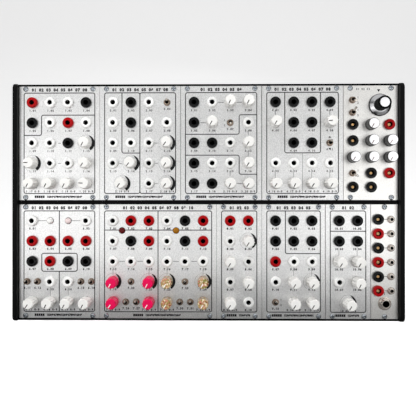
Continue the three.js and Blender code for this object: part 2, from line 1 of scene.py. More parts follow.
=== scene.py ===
# %% [markdown]
# # A modular synthesizer, dressed for its picture
#
# The CAD model holds the frame of this lesson: two rows of panel modules, the knobs and levers
# that move, and the case. Here each plain solid gets the look of the real thing. A panel becomes
# a thin plate with true holes, a socket gets its rounded collar and dark throat, and every knob
# gets its flutes. We start by loading the frame, and we keep its box to compare sizes at the end.

# %% Load the frame
import json
import math
import random

import bmesh
import bpy
from mathutils import Matrix, Vector


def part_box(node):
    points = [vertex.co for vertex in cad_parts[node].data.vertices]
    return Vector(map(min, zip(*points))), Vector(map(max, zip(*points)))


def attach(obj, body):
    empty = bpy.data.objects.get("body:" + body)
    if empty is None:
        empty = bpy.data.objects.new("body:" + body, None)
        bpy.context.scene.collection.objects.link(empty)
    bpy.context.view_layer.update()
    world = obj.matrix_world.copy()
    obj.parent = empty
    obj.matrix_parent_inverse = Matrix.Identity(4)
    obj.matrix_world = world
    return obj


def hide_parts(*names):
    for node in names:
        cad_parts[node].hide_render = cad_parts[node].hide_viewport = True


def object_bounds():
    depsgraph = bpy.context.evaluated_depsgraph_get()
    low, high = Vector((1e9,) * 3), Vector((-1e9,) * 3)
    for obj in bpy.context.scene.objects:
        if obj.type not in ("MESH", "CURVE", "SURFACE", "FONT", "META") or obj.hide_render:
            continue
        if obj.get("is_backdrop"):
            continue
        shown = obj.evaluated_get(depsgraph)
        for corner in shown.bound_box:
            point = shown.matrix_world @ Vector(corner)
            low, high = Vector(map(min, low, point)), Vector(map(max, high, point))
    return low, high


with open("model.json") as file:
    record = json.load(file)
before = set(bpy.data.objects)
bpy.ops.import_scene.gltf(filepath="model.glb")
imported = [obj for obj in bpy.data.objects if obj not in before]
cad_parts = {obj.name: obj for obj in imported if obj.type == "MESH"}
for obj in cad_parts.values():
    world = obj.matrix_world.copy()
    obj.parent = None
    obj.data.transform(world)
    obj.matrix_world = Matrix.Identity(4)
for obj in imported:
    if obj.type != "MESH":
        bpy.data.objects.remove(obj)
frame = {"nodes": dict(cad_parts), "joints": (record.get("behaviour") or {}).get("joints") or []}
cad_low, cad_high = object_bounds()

MM = 0.001
print("CAD box, mm:", [round(v / MM, 1) for v in (*cad_low, *cad_high)])

# %% [markdown]
# ## Where everything is
#
# All panels lie in one plane, which the centre rail gives: its lip stands one millimetre in
# front of them. Sizes below are real millimetres. A place on a module is written as (x, z) from
# the panel's centre, and a height is counted from the panel's face towards the viewer, so one
# small function turns these three numbers into a point of the frame.

# %% The panel plane and the grid
LIP_PROUD = 1.0
PANEL_THICKNESS = 2.0
COLUMN_PITCH = 20.32
ROW_PITCH = 22.873
ROWS = 5
PAIR_PITCH = 11.8
panel_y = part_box("centre_rail")[0].y / MM + LIP_PROUD


def centre_of(node):
    """The middle of a panel in millimetres, with its width and height."""
    (left, _, foot), (right, _, top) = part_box(node)
    return (left + right) / 2 / MM, (foot + top) / 2 / MM, (right - left) / MM, (top - foot) / MM


def at(x, z, height=0.0):
    """A point of the frame in metres, from millimetres on the panels."""
    return Vector((x * MM, (panel_y - height) * MM, z * MM))


print("panel plane at y =", round(panel_y, 2), "mm")

# %% [markdown]
# ## Small helpers
#
# Lights, the camera and all pieces enter the scene in the same way, so one function does it.
# Light and finishes are node trees, and these get long when each node is made, set and wired by
# hand. `add` does all three at once, and three more helpers do sums with its nodes.

# %% Helpers for objects and node trees
def linked(name, data):
    """A new object with this data, in the scene."""
    thing = bpy.data.objects.new(name, data)
    bpy.context.collection.objects.link(thing)
    return thing


def add(tree, kind, inputs=None, **settings):
    """Adds a node, sets its properties and feeds its inputs with values or sockets."""
    node = tree.nodes.new(kind)
    for key, value in settings.items():
        setattr(node, key, value)
    for key, value in (inputs or {}).items():
        if isinstance(value, bpy.types.NodeSocket):
            tree.links.new(value, node.inputs[key])
        else:
            node.inputs[key].default_value = value
    return node


def calculated(tree, operation, *values, **settings):
    """The result of a Math node that is fed with values or sockets."""
    return add(tree, "ShaderNodeMath", dict(enumerate(values)), operation=operation, **settings).outputs[0]


def multiplied(tree, result, *factors):
    """The product of some values."""
    for factor in factors:
        result = calculated(tree, "MULTIPLY", result, factor)
    return result


def mapped(tree, value, low, high, to_low, to_high):
    """Maps one range of values to another, smooth at both ends."""
    ends = {"Value": value, "From Min": low, "From Max": high, "To Min": to_low, "To Max": to_high}
    return add(tree, "ShaderNodeMapRange", ends, interpolation_type="SMOOTHSTEP").outputs["Result"]


# %% [markdown]
# ## Camera and light
#
# The photograph was taken from the front with the lens level with the gap between the two rows.
# How strongly the cheeks and the tall knobs lean outwards gives the distance: about two thirds
# of a metre. The left side is a little smaller than the right one, so the camera is turned one
# degree to the left, and a shift of the lens brings the case back to its place.
#
# Two soft lights stand far out at the left and the right, so knobs in the left half cast their
# shade to the right, and those in the right half to the left. A third one lights the white
# pieces from above. The metal doesn't mirror these three, or it would turn white. What the
# blasted metal shows is a blurred mirror image of what stands in front of it: three weak lights
# beside and above the camera, which make the panels bright at their sides, and a faint band at
# the height of the eye. On plastic that band would wash out the shade of the knobs, so it
# counts for less there.

# %% The camera
CAMERA_DISTANCE = 651.4
CAMERA_LEVEL = 132.2
CAMERA_RISE = 0.19
CAMERA_TURN = 0.94
LENS = 50.04
SENSOR = 36.0
PICTURE = 416
AXIS_COLUMN = 198.1
AXIS_ROW = 201.3

camera_data = bpy.data.cameras.new("camera")
camera_data.lens = LENS
camera_data.sensor_width = SENSOR
camera_data.shift_x = (PICTURE / 2 - AXIS_COLUMN) / PICTURE
camera_data.shift_y = (AXIS_ROW - PICTURE / 2) / PICTURE
camera_data.clip_start = 0.01
camera_data.clip_end = 50.0
camera = linked("camera", camera_data)
camera.location = at(0, CAMERA_LEVEL, CAMERA_DISTANCE)
camera.rotation_euler = (math.radians(90 + CAMERA_RISE), 0, math.radians(CAMERA_TURN))
bpy.context.scene.camera = camera
print("camera", CAMERA_DISTANCE, "mm in front of the panels")


# %% Lights
def soft_light(name, place, target, width, power, mirrored=True):
    """A large square light that looks at a target. Metal doesn't mirror it if that is switched off."""
    data = bpy.data.lights.new(name, "AREA")
    data.shape = "SQUARE"
    data.size = width
    data.energy = power
    light = linked(name, data)
    light.location = place
    light.rotation_euler = (Vector(target) - Vector(place)).to_track_quat("-Z", "Y").to_euler()
    light.visible_glossy = mirrored


# The place and the width in metres, the power in watts, and whether metal mirrors it
FRONT_LIGHTS = {
    "left_light": ((-0.66, -0.42, 0.25), 0.35, 2.2, False),
    "right_light": ((0.66, -0.42, 0.25), 0.35, 2.2, False),
    "top_light": ((-0.1, -0.5, 0.85), 0.4, 3.4, False),
    "mirror_light_left": ((-0.52, -0.85, 0.25), 0.6, 1.05, True),
    "mirror_light_right": ((0.58, -0.85, 0.26), 0.55, 1.06, True),
    "mirror_light_high": ((0.0, -0.9, 0.64), 0.5, 0.73, True),
}
row_middle = (0.0, panel_y * MM, 0.13)
for name, (place, width, power, mirrored) in FRONT_LIGHTS.items():
    soft_light(name, place, row_middle, width, power, mirrored)
soft_light("back_light", (0.2, 1.1, 1.3), (0, 0.3, 0), 0.8, 9)
print(len(FRONT_LIGHTS), "lights in front and one behind")

# %% The room
BAND_LEVEL = 0.4
BAND_AHEAD = (-0.95, -0.3)
BAND_FOOT = (-0.25, -0.05)
BAND_TOP = (0.05, 0.35)
CEILING_LEVEL = 0.92
CEILING_START = (0.2, 0.8)
BOUNCED_LOSS = 0.6
BACKDROP_LEVEL = 0.9

world = bpy.data.worlds.new("studio")
world.use_nodes = True
room = world.node_tree
looking = add(room, "ShaderNodeSeparateXYZ", {0: add(room, "ShaderNodeTexCoord").outputs["Generated"]})
_, towards_back, towards_top = looking.outputs
room_rays = add(room, "ShaderNodeLightPath").outputs
band = multiplied(
    room, mapped(room, towards_back, *BAND_AHEAD, BAND_LEVEL, 0.0),
    mapped(room, towards_top, *BAND_FOOT, 0.0, 1.0), mapped(room, towards_top, *BAND_TOP, 1.0, 0.0),
)
ceiling = mapped(room, towards_top, *CEILING_START, 0.0, CEILING_LEVEL)
kept_share = calculated(room, "MULTIPLY_ADD", room_rays["Is Diffuse Ray"], -BOUNCED_LOSS, 1.0)
room_light = multiplied(room, calculated(room, "ADD", band, ceiling), kept_share)
seen = add(room, "ShaderNodeMix", {0: room_rays["Is Camera Ray"], 2: room_light, 3: BACKDROP_LEVEL})
room.links.new(seen.outputs[0], room.nodes["Background"].inputs["Strength"])
room.nodes["Background"].inputs["Color"].default_value = (1, 1, 1, 1)
bpy.context.scene.world = world
bpy.context.scene.view_settings.view_transform = "Standard"
print("room of", len(room.nodes), "nodes")


# %% [markdown]
# ## Shader groups
#
# Real surfaces are never one flat colour. Two effects appear on nearly everything here: a fine
# grain, which blasted metal and moulded plastic both have, and a little wear where edges are
# touched. Each is built once as a node group with its own inputs, and every finish places it
# with its own values. The groups put out values only, and the shader stays in the material.

# %% A helper that starts a group
FLOAT = "NodeSocketFloat"


def new_group(name, kind, inputs, outputs):
    """A node group with named sockets, given as (name, socket type, default)."""
    group = bpy.data.node_groups.new(name, kind)
    for label, socket_type, default in inputs:
        socket = group.interface.new_socket(name=label, in_out="INPUT", socket_type=socket_type)
        if default is not None:
            socket.default_value = default
    for label, socket_type in outputs:
        group.interface.new_socket(name=label, in_out="OUTPUT", socket_type=socket_type)
    return group, add(group, "NodeGroupInput").outputs, add(group, "NodeGroupOutput")


# %% Grain and edge wear
CLOUD_SCALE = 14.0
EDGE_START = 0.52
EDGE_FULL = 0.66


def grain_group():
    """Fine grain with slow clouds in it: a shade near 1 and a height for the bump."""
    group, given, result = new_group(
        "fine grain", "ShaderNodeTree",
        [("Scale", FLOAT, 900.0), ("Contrast", FLOAT, 0.05), ("Clouds", FLOAT, 0.03)],
        [("Shade", FLOAT), ("Height", FLOAT)],
    )
    place = add(group, "ShaderNodeTexCoord").outputs["Object"]
    fine = add(group, "ShaderNodeTexNoise", {"Vector": place, "Scale": given["Scale"], "Detail": 3.0})
    broad = add(group, "ShaderNodeTexNoise", {"Vector": place, "Scale": CLOUD_SCALE, "Detail": 2.0})
    grain, cloud = (calculated(group, "SUBTRACT", noise.outputs["Fac"], 0.5) for noise in (fine, broad))
    grained = calculated(group, "MULTIPLY_ADD", grain, given["Contrast"], 1.0)
    shade = calculated(group, "MULTIPLY_ADD", cloud, given["Clouds"], grained)
    group.links.new(shade, result.inputs["Shade"])
    group.links.new(fine.outputs["Fac"], result.inputs["Height"])
    return group


def wear_group():
    """A mask that is high on sharp outer edges, broken up by noise."""
    group, given, result = new_group(
        "edge wear", "ShaderNodeTree", [("Amount", FLOAT, 0.5), ("Patches", FLOAT, 250.0)], [("Mask", FLOAT)]
    )
    place = add(group, "ShaderNodeTexCoord").outputs["Object"]
    pointed = add(group, "ShaderNodeNewGeometry").outputs["Pointiness"]
    edge = add(group, "ShaderNodeMapRange", {"Value": pointed, "From Min": EDGE_START, "From Max": EDGE_FULL})
    patch = add(group, "ShaderNodeTexNoise", {"Vector": place, "Scale": given["Patches"], "Detail": 4.0})
    broken = calculated(group, "MULTIPLY", edge.outputs["Result"], patch.outputs["Fac"])
    mask = calculated(group, "MULTIPLY", broken, given["Amount"], use_clamp=True)
    group.links.new(mask, result.inputs["Mask"])
    return group


GRAIN = grain_group()
WEAR = wear_group()
print("shader groups:", GRAIN.name, "and", WEAR.name)

# %% [markdown]
# ## Finishes
#
# One builder makes all plain finishes: a colour that the grain darkens and lightens a little, a
# second colour that shows where an edge is worn, a roughness that follows the grain, and a bump.
# Numbers that are the same all over a surface go straight onto the shader's own sockets.

# %% The finish builder
RELIEF_DEPTH = 0.0002
finishes = {}


def finish(name, color, roughness, metallic=0.0, grain=0.06, clouds=0.03, scale=900.0, bump=0.05,
           wear=0.0, worn=(0.6, 0.6, 0.6), plain=None):
    """A procedural material built from the two groups."""
    material = bpy.data.materials.new(name)
    material.use_nodes = True
    tree = material.node_tree
    shader = tree.nodes["Principled BSDF"]
    for key, value in {"Metallic": metallic, **(plain or {})}.items():
        shader.inputs[key].default_value = value
    sizes = {"Scale": scale, "Contrast": grain, "Clouds": clouds}
    fine = add(tree, "ShaderNodeGroup", sizes, node_tree=GRAIN).outputs
    edge = add(tree, "ShaderNodeGroup", {"Amount": wear}, node_tree=WEAR).outputs
    base = add(tree, "ShaderNodeMix", {0: edge["Mask"], 6: (*color, 1), 7: (*worn, 1)}, data_type="RGBA")
    terms = {0: base.outputs[2], "Scale": fine["Shade"]}
    shaded = add(tree, "ShaderNodeVectorMath", terms, operation="SCALE")
    rough = calculated(tree, "MULTIPLY", fine["Shade"], roughness, use_clamp=True)
    depths = {"Height": fine["Height"], "Strength": bump, "Distance": RELIEF_DEPTH}
    relief = add(tree, "ShaderNodeBump", depths)
    feeds = {"Base Color": shaded.outputs[0], "Roughness": rough, "Normal": relief.outputs["Normal"]}
    for key, source in feeds.items():
        tree.links.new(source, shader.inputs[key])
    finishes[name] = material
    return material


def mirroring(level):
    """How much a surface that isn't metal mirrors, for the shader's own socket."""
    return {"Specular IOR Level": level}


# %% The finishes of the fronts and of the prints
finish("blasted_aluminium", (0.76, 0.76, 0.755), 0.36, 1.0, grain=0.9, clouds=0.05, scale=950, bump=0.35,
       wear=0.6, worn=(0.95, 0.95, 0.95))
finish("warm_aluminium", (0.80, 0.79, 0.765), 0.35, 1.0, grain=0.6, clouds=0.04, scale=950, bump=0.3,
       wear=0.6, worn=(0.95, 0.95, 0.93))
INKS = {
    "black_ink": ((0.008, 0.008, 0.009), 0.3), "line_ink": ((0.012, 0.012, 0.014), 0.3),
    "grey_ink": ((0.06, 0.06, 0.065), 0.4), "pale_ink": ((0.3, 0.3, 0.3), 0.2),
    "label_ink": ((0.014, 0.014, 0.016), 0.4),
}
for name, (color, grain) in INKS.items():
    finish(name, color, 0.6, grain=grain, scale=2600, bump=0.1, plain=mirroring(0.3))
finish("brown_ink", (0.09, 0.035, 0.03), 0.5, grain=0.3, scale=2600)
finish("white_ink", (0.9, 0.88, 0.88), 0.5, grain=0.08, scale=2600)
print("so far:", *finishes)

# %% The finishes of plastics
finish("white_plastic", (0.88, 0.88, 0.865), 0.4, grain=0.02, clouds=0.04, scale=500, bump=0.02,
       wear=0.25, worn=(0.6, 0.58, 0.54), plain=mirroring(0.3))
finish("ivory_plastic", (0.86, 0.85, 0.825), 0.42, grain=0.03, clouds=0.05, scale=500, bump=0.02,
       wear=0.3, worn=(0.9, 0.9, 0.88), plain=mirroring(0.3))
finish("pink_plastic", (0.80, 0.003, 0.088), 0.36, grain=0.3, clouds=0.10, scale=420, bump=0.04,
       wear=0.3, worn=(0.9, 0.10, 0.25), plain=mirroring(0.2))
finish("black_plastic", (0.002, 0.0023, 0.0026), 0.22, grain=0.2, clouds=0.1, scale=700, bump=0.03,
       wear=0.5, worn=(0.03, 0.03, 0.03), plain=mirroring(0.18))
finish("red_plastic", (0.36, 0.002, 0.004), 0.32, grain=0.1, clouds=0.1, scale=700, bump=0.03,
       wear=0.4, worn=(0.6, 0.05, 0.05), plain=mirroring(0.15))
finish("dark_plastic", (0.025, 0.026, 0.025), 0.36, grain=0.25, clouds=0.1, scale=900, bump=0.1,
       wear=0.8, worn=(0.12, 0.12, 0.12), plain=mirroring(0.2))
# A near-black finish that barely mirrors, for the cups that paint the shade inside the bores of sockets and
# toggles.
finish("throat_black", (0.002, 0.002, 0.002), 0.8, grain=0.2, scale=900, plain=mirroring(0.05))
print(len(finishes), "finishes with the plastics")

# %% The finishes of bare metals
# The colour, roughness, grain, clouds, scale and bump, then the wear and the worn colour
METALS = {
    "brass": ((0.78, 0.52, 0.25), 0.3, 0.12, 0.2, 1500, 0.1, 0.5, (0.95, 0.85, 0.6)),
    "nickel": ((0.74, 0.72, 0.68), 0.2, 0.06, 0.1, 1800, 0.06, 0.7, (0.9, 0.88, 0.84)),
    "old_nickel": ((0.58, 0.53, 0.48), 0.22, 0.1, 0.2, 1800, 0.08, 0.7, (0.85, 0.82, 0.78)),
    "tarnished_nickel": ((0.29, 0.225, 0.18), 0.26, 0.12, 0.3, 1800, 0.1, 0.8, (0.85, 0.78, 0.66)),
    "lever_metal": ((0.46, 0.43, 0.39), 0.14, 0.08, 0.1, 1800, 0.06, 0.7, (0.8, 0.77, 0.72)),
    "zinc": ((0.47, 0.50, 0.53), 0.08, 0.1, 0.2, 1500, 0.08, 0.5, (0.9, 0.92, 0.94)),
}
for name, (color, roughness, grain, clouds, scale, bump, wear, worn) in METALS.items():
    finish(name, color, roughness, 1.0, grain, clouds, scale, bump, wear, worn)
finish("bright_cap", (0.95, 0.95, 0.96), 0.3, 0.85, grain=0.05, clouds=0.05, scale=1500, bump=0.05,
       wear=0.5, worn=(0.98, 0.98, 0.98))
print(len(finishes), "finishes with the bare metals")

# %% The finishes of the black metals, the lamps and the boards
finish("powder_black", (0.002, 0.002, 0.0022), 0.5, grain=0.25, clouds=0.15, scale=1600, bump=0.35,
       wear=0.25, worn=(0.05, 0.05, 0.05), plain=mirroring(0.08))
finish("anodised_black", (0.002, 0.002, 0.0022), 0.5, grain=0.3, clouds=0.2, scale=2200, bump=0.1,
       plain=mirroring(0.06))
finish("case_paint", (0.02, 0.02, 0.0205), 0.42, grain=0.3, clouds=0.2, scale=1600, bump=0.35,
       plain=mirroring(0.3))
LACQUER = {"Coat Weight": 0.2}
finish("solder_mask", (0.02, 0.13, 0.06), 0.35, grain=0.15, clouds=0.3, scale=600, bump=0.05, plain=LACQUER)
LENSES = {
    "white_lens": ((0.9, 0.89, 0.86), LACQUER), "pale_pink_lens": ((0.80, 0.66, 0.65), LACQUER),
    "dark_red_lens": ((0.09, 0.001, 0.002), mirroring(0.2)),
    "amber_lens": ((0.34, 0.13, 0.002), mirroring(0.2)),
}
for name, (color, plain) in LENSES.items():
    finish(name, color, 0.12, grain=0.02, clouds=0.1, scale=600, plain=plain)
print(len(finishes), "finishes")

# %% [markdown]
# ## The speckled knobs
#
# One set of knobs is moulded from clear resin with gold confetti in it. Voronoi cells are a good
# stand-in for flakes: each cell takes one colour of a short ramp, from pale resin to rust. A
# little noise bends the cells first, so that they look torn and not cut.

# %% The confetti finish
FLAKE_SCALE = 620.0
BEND_SCALE = 160.0
BEND_REACH = (0.003, 0.003, 0.003)
FLAKE_COLORS = [
    (0.0, (0.40, 0.25, 0.09)), (0.3, (0.60, 0.46, 0.24)), (0.40, (0.30, 0.07, 0.03)),
    (0.48, (0.46, 0.30, 0.10)), (0.58, (0.22, 0.20, 0.03)), (0.66, (0.62, 0.24, 0.17)),
    (0.72, (0.82, 0.70, 0.48)),
]


def confetti():
    """Resin with flakes in it. A flake has the ramp's colour from its position on."""
    material = finish("gold_confetti", (0.83, 0.70, 0.50), 0.25, grain=0.06, scale=500,
                      plain={"Coat Weight": 0.4})
    tree = material.node_tree
    place = add(tree, "ShaderNodeTexCoord").outputs["Object"]
    bent = add(tree, "ShaderNodeTexNoise", {"Vector": place, "Scale": BEND_SCALE, "Detail": 1.0})
    terms = {0: bent.outputs["Color"], 1: BEND_REACH, 2: place}
    pushed = add(tree, "ShaderNodeVectorMath", terms, operation="MULTIPLY_ADD")
    flakes = add(tree, "ShaderNodeTexVoronoi", {"Vector": pushed.outputs[0], "Scale": FLAKE_SCALE})
    ramp = add(tree, "ShaderNodeValToRGB", {"Fac": flakes.outputs["Color"]})
    ramp.color_ramp.interpolation = "CONSTANT"
    stops = ramp.color_ramp.elements
    for index, (position, color) in enumerate(FLAKE_COLORS):
        stop = stops[index] if index < len(stops) else stops.new(position)
        stop.position = position
        stop.color = (*color, 1)
    tree.links.new(ramp.outputs["Color"], tree.nodes["Principled BSDF"].inputs["Base Color"])
    print(material.name, "with", len(stops), "colours")


confetti()

# %% [markdown]
# ## Making turned pieces
#
# Sockets, nuts, lamps, screws and knobs are all turned shapes, so one function serves them. It
# takes a profile of (radius, height) points and spins it round the line that comes out of the
# panel. A third value eases the corner by a short curve, because nothing real has a perfectly
# sharp edge. A fourth may be a rule that pulls a ring in and out with the angle: that gives
# flutes, the flats of a nut and the cross in a screw.

# %% Closed meshes
SHARP_ANGLE = math.radians(38)
MESH_REACH = 1e-7


def cleaned(mesh, reach):
    """Merges points that lie within reach of each other, and turns the faces outwards."""
    work = bmesh.new()
    work.from_mesh(mesh)
    bmesh.ops.remove_doubles(work, verts=work.verts, dist=reach)
    bmesh.ops.recalc_face_normals(work, faces=work.faces)
    work.to_mesh(mesh)
    work.free()
    return mesh


def as_mesh(name, vertices, faces, smooth=True):
    """A mesh of these faces, with its doubles merged and its faces pointing outwards."""
    mesh = bpy.data.meshes.new(name)
    mesh.from_pydata(vertices, [], [face for face in faces if len(face) > 2])
    cleaned(mesh, MESH_REACH)
    if smooth:
        mesh.polygons.foreach_set("use_smooth", [True] * len(mesh.polygons))
        mesh.set_sharp_from_angle(angle=SHARP_ANGLE)
    return mesh


# %% Profiles and turning
def eased(corners, steps=3):
    """Rounds each (radius, height, ease, rule) corner of a profile by a short curve."""
    points = []
    for index, (radius, height, *rest) in enumerate(corners):
        ease, *rule = rest or (0,)
        here = Vector((radius, height))
        if not ease or index in (0, len(corners) - 1):
            points.append((radius, height, *rule))
            continue
        before = Vector(corners[index - 1][:2]) - here
        after = Vector(corners[index + 1][:2]) - here
        start = here + before.normalized() * min(ease, before.length * 0.49)
        end = here + after.normalized() * min(ease, after.length * 0.49)
        for step in range(steps + 1):
            t = step / steps
            spot = start * (1 - t) ** 2 + here * (2 * t * (1 - t)) + end * t ** 2
            points.append((spot.x, spot.y, *rule))
    return points


def turned(name, corners, steps=32, ease_steps=3):
    """A closed turned mesh, in metres, from a profile in millimetres."""
    vertices, rings, faces = [], [], []
    for radius, height, *rule in eased(corners, ease_steps):
        count = 1 if radius == 0 else steps
        rings.append(range(len(vertices), len(vertices) + count))
        for step in range(count):
            angle = math.tau * step / steps
            reach = radius * (rule[0](angle) if rule else 1)
            vertices.append((reach * math.cos(angle) * MM, -height * MM, reach * math.sin(angle) * MM))
    for low, high in zip(rings, rings[1:]):
        for step in range(steps):
            following = (step + 1) % steps
            corners_here = [low[step % len(low)], low[following % len(low)]]
            corners_here += [high[following % len(high)], high[step % len(high)]]
            faces.append(list(dict.fromkeys(corners_here)))
    return as_mesh(name, vertices, faces)


# %% Rules for rings that aren't round
def hexagon(angle):
    """Pulls a circle through a hexagon's corners in to its flats."""
    return math.cos(math.pi / 6) / math.cos((angle + math.pi / 6) % (math.pi / 3) - math.pi / 6)


def flutes(count, depth):
    """Concave flutes with a narrow ridge between each two."""
    return lambda angle: 1 - depth * abs(math.sin(count * angle / 2))


def cross(angle):
    """A cross, the recess of a machine screw. Its arms are three times as long as wide."""
    across, along = sorted((abs(math.cos(angle)), abs(math.sin(angle))))
    return min(1 / along, 0.3 / max(across, 0.01))


# %% [markdown]
# ## Putting pieces in place
#
# A finished piece keeps its object at the origin and its place in its mesh, as the CAD nodes do.
# `assembled` joins meshes that belong to one piece, each with its own finish, and `placed` says
# what it rides on and hides the CAD nodes that it stands for.


# %% Helpers for placing
def assembled(name, parts, move=None):
    """One object from (mesh, finish name) parts, moved to its place in the mesh itself."""
    mesh = bpy.data.meshes.new(name)
    work = bmesh.new()
    for index, (part, finish_name) in enumerate(parts):
        start = len(work.faces)
        work.from_mesh(part)
        work.faces.ensure_lookup_table()
        for face in work.faces[start:]:
            face.material_index = index
        mesh.materials.append(finishes[finish_name])
    work.to_mesh(mesh)
    work.free()
    if move is not None:
        mesh.transform(move)
    return linked(name, mesh)


def placed(thing, body="case", stands_for=()):
    """Says what a piece rides on, and hides the CAD nodes that it stands for."""
    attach(thing, body)
    if stands_for:
        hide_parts(*stands_for)
    return thing


# %% Helpers that turn curves and modifiers into plain meshes
CURVE_REACH = 1e-6


def evaluated(thing):
    """A plain mesh of what an object looks like once its curve or its modifiers are worked out."""
    graph = bpy.context.evaluated_depsgraph_get()
    graph.update()
    return bpy.data.meshes.new_from_object(thing.evaluated_get(graph), depsgraph=graph)


def settle(thing):
    """Turns what the modifiers make into a plain mesh, and removes the modifiers."""
    mesh = evaluated(thing)
    thing.modifiers.clear()
    thing.data = mesh
    return thing


def settle_curve(drawn):
    """A curve or text turned into a merged plain mesh. The curve itself is removed."""
    mesh = evaluated(drawn)
    bpy.data.objects.remove(drawn)
    return cleaned(mesh, CURVE_REACH)


def softened(thing, width, segments):
    """Bevels the sharp edges of a piece."""
    bevel = thing.modifiers.new("edge", "BEVEL")
    bevel.width = width * MM
    bevel.segments = segments
    bevel.limit_method = "ANGLE"
    return settle(thing)


# %% [markdown]
# ## The modules
#
# Each module is written as the rows that one sees: W, R and B are white, red and black banana
# sockets, K is a knob with its pointer low on the left, k one that points left, C and c the same
# with a printed crescent, T a lever set up, V one set down, P a pair of levers, L a lamp. Socket
# and knob columns share one grid, so printed lines can be given in columns and rows as well.

# %% Rows of every module
MODULES = {
    "upper_1": {"rows": ["R W W B", "B W R W", "W W B C", "c W W K", "K K K k"]},
    "upper_2": {
        "rows": ["W B W T", "W B W W", "W W W C", "W C W C", "- - W C"],
        "between": [("C", 0.5, 4)],
    },
    "upper_3": {"rows": ["B W K K", "B K V W", "B B W K", "B W W K", "B B K K"]},
    "upper_4": {"rows": ["B B B B", "K B B k", "- B B T", "W W W W", "K K K K"]},
    "upper_5": {
        "drops": [
            ("V", 0, 0.126), ("T", 0, 0.236), ("D", 1.5, 0.17), ("BKR", 0, 0.342), ("BKK", 0, 0.483),
            ("KKK", 0, 0.627), ("VBR", 0, 0.765), ("BB-", 0, 0.887),
        ],
        "columns": 3, "knobs": ("dark", "dark"), "metal": "warm_aluminium", "brass": True,
    },
    "lower_1": {"rows": ["W L L W", "R R R R", "B R B B", "P W W P", "K K K K"]},
    "lower_2": {
        "rows": ["W R R W B R", "W B R W B R", "W W W W W W", "C T C C T C", "K P K K P K"],
        "between": [("L", 0.5, 0.48), ("L", 3.5, 0.48)],
        "knobs": ("pink", "gold"),
    },
    "lower_3": {"rows": ["R R", "W C", "K W", "W K", "K W"]},
    "lower_4": {"rows": ["B B B", "B B B", "R W W", "W K C", "T K K"]},
    "lower_5": {"rows": ["B B", "B B", "K K", "W K", "- -"], "between": [("C", 0.5, 4.05)]},
    "lower_6": {"columns": 1, "metal": "warm_aluminium", "brass": True},
}
LAMP_LENSES = ["white_lens", "pale_pink_lens", "dark_red_lens", "amber_lens"]

# The narrow output module: sockets at shares of its width and height
OUTPUT_COLORS = "BRBRBR"
OUTPUT_FIRST_SHARE = 0.131
OUTPUT_PITCH_SHARE = 0.1245
OUTPUT_BANANA_SHARE = 0.253
OUTPUT_MINI_SHARE = 0.735
OUTPUT_LARGE_DROP = 111.025
print(len(MODULES), "modules")


# %% From columns and rows to millimetres
def across(module, column):
    """How far a column lies to the right of a module's middle."""
    columns = module.get("columns") or len(module["rows"][0].split())
    return (column - (columns - 1) / 2) * COLUMN_PITCH


def upwards(row):
    """How far a row lies above a module's middle."""
    return ((ROWS - 1) / 2 - row) * ROW_PITCH


print("grid of", COLUMN_PITCH, "by", ROW_PITCH, "mm")

# %% Every control with its place
ALL_KINDS = "WRBKkCcTVLDMH"
PAIR_SHARE = PAIR_PITCH / COLUMN_PITCH / 2
wander = random.Random(5)


def controls_of(name, module):
    """All controls of a module as dictionaries: kind, row, place in the frame and a small draw."""
    middle_x, middle_z, width, height = centre_of(f"{name}_panel")
    found = []

    def put(kind, x, z):
        found.append({
            "kind": kind, "module": name, "x": middle_x + x, "z": middle_z + z,
            "row": (ROWS - 1) / 2 - z / ROW_PITCH, "left": x < 0, "wander": wander.uniform(-1, 1),
        })

    for row, line in enumerate(module.get("rows", [])):
        for column, kind in enumerate(line.split()):
            shifts = (-PAIR_SHARE, PAIR_SHARE) if kind == "P" else (0,)
            for shift in shifts:
                put("T" if kind == "P" else kind, across(module, column + shift), upwards(row))
    for kind, column, row in module.get("between", []):
        put(kind, across(module, column), upwards(row))
    for kinds, start, share in module.get("drops", []):
        for index, kind in enumerate(kinds):
            put(kind, across(module, start + index), (0.5 - share) * height)
    if name == "lower_6":
        put("H", 0, height / 2 - OUTPUT_LARGE_DROP)
        for index, kind in enumerate(OUTPUT_COLORS):
            z = (0.5 - OUTPUT_FIRST_SHARE - index * OUTPUT_PITCH_SHARE) * height
            put(kind, (OUTPUT_BANANA_SHARE - 0.5) * width, z)
            put("M", (OUTPUT_MINI_SHARE - 0.5) * width, z)
    return [control for control in found if control["kind"] != "-"]


controls = [control for name, module in MODULES.items() for control in controls_of(name, module)]


def every(kinds, only=None):
    """Controls of the given kinds, of all modules or of those that a test lets through."""
    return [c for c in controls if c["kind"] in kinds and (only is None or only(c))]


def of_module(name, kinds=ALL_KINDS):
    """The controls of one module, in the order in which it counts them."""
    return every(kinds, lambda c: c["module"] == name)


print(len(controls), "controls:", {kind: len(every(kind)) for kind in ALL_KINDS})

# %% [markdown]
# ## Plates
#
# A panel is two millimetres of blasted aluminium with a hole for each control and a slotted one
# for each screw. A filled 2D curve is a quick way to draw such a plate: the outline and the
# holes are separate splines, and Blender fills between them. A small bevel then softens
# every cut edge, which is what catches the light along the seams. Sawn panels are never quite
# equally wide: some are a few tenths narrower, and the seams beside them show as dark lines.

# %% Plate sizes
HOLE_RADII = {"W": 4.0, "R": 4.0, "B": 4.0, "T": 3.0, "V": 3.0, "L": 2.3, "M": 3.1, "H": 5.8}
SHAFT_HOLE = 3.6
HOLE_STEPS = 20
SCREW_FROM_SIDE = 7.5
SCREW_FROM_EDGE = 3.0
SCREW_SLOT = (1.7, 1.3)
PLATE_BEVEL = 0.25
NARROWER = {"upper_3": 0.2, "upper_4": 0.2, "lower_4": 0.1, "lower_5": 0.2}
UPRIGHT = Matrix.Rotation(math.pi / 2, 4, "X")


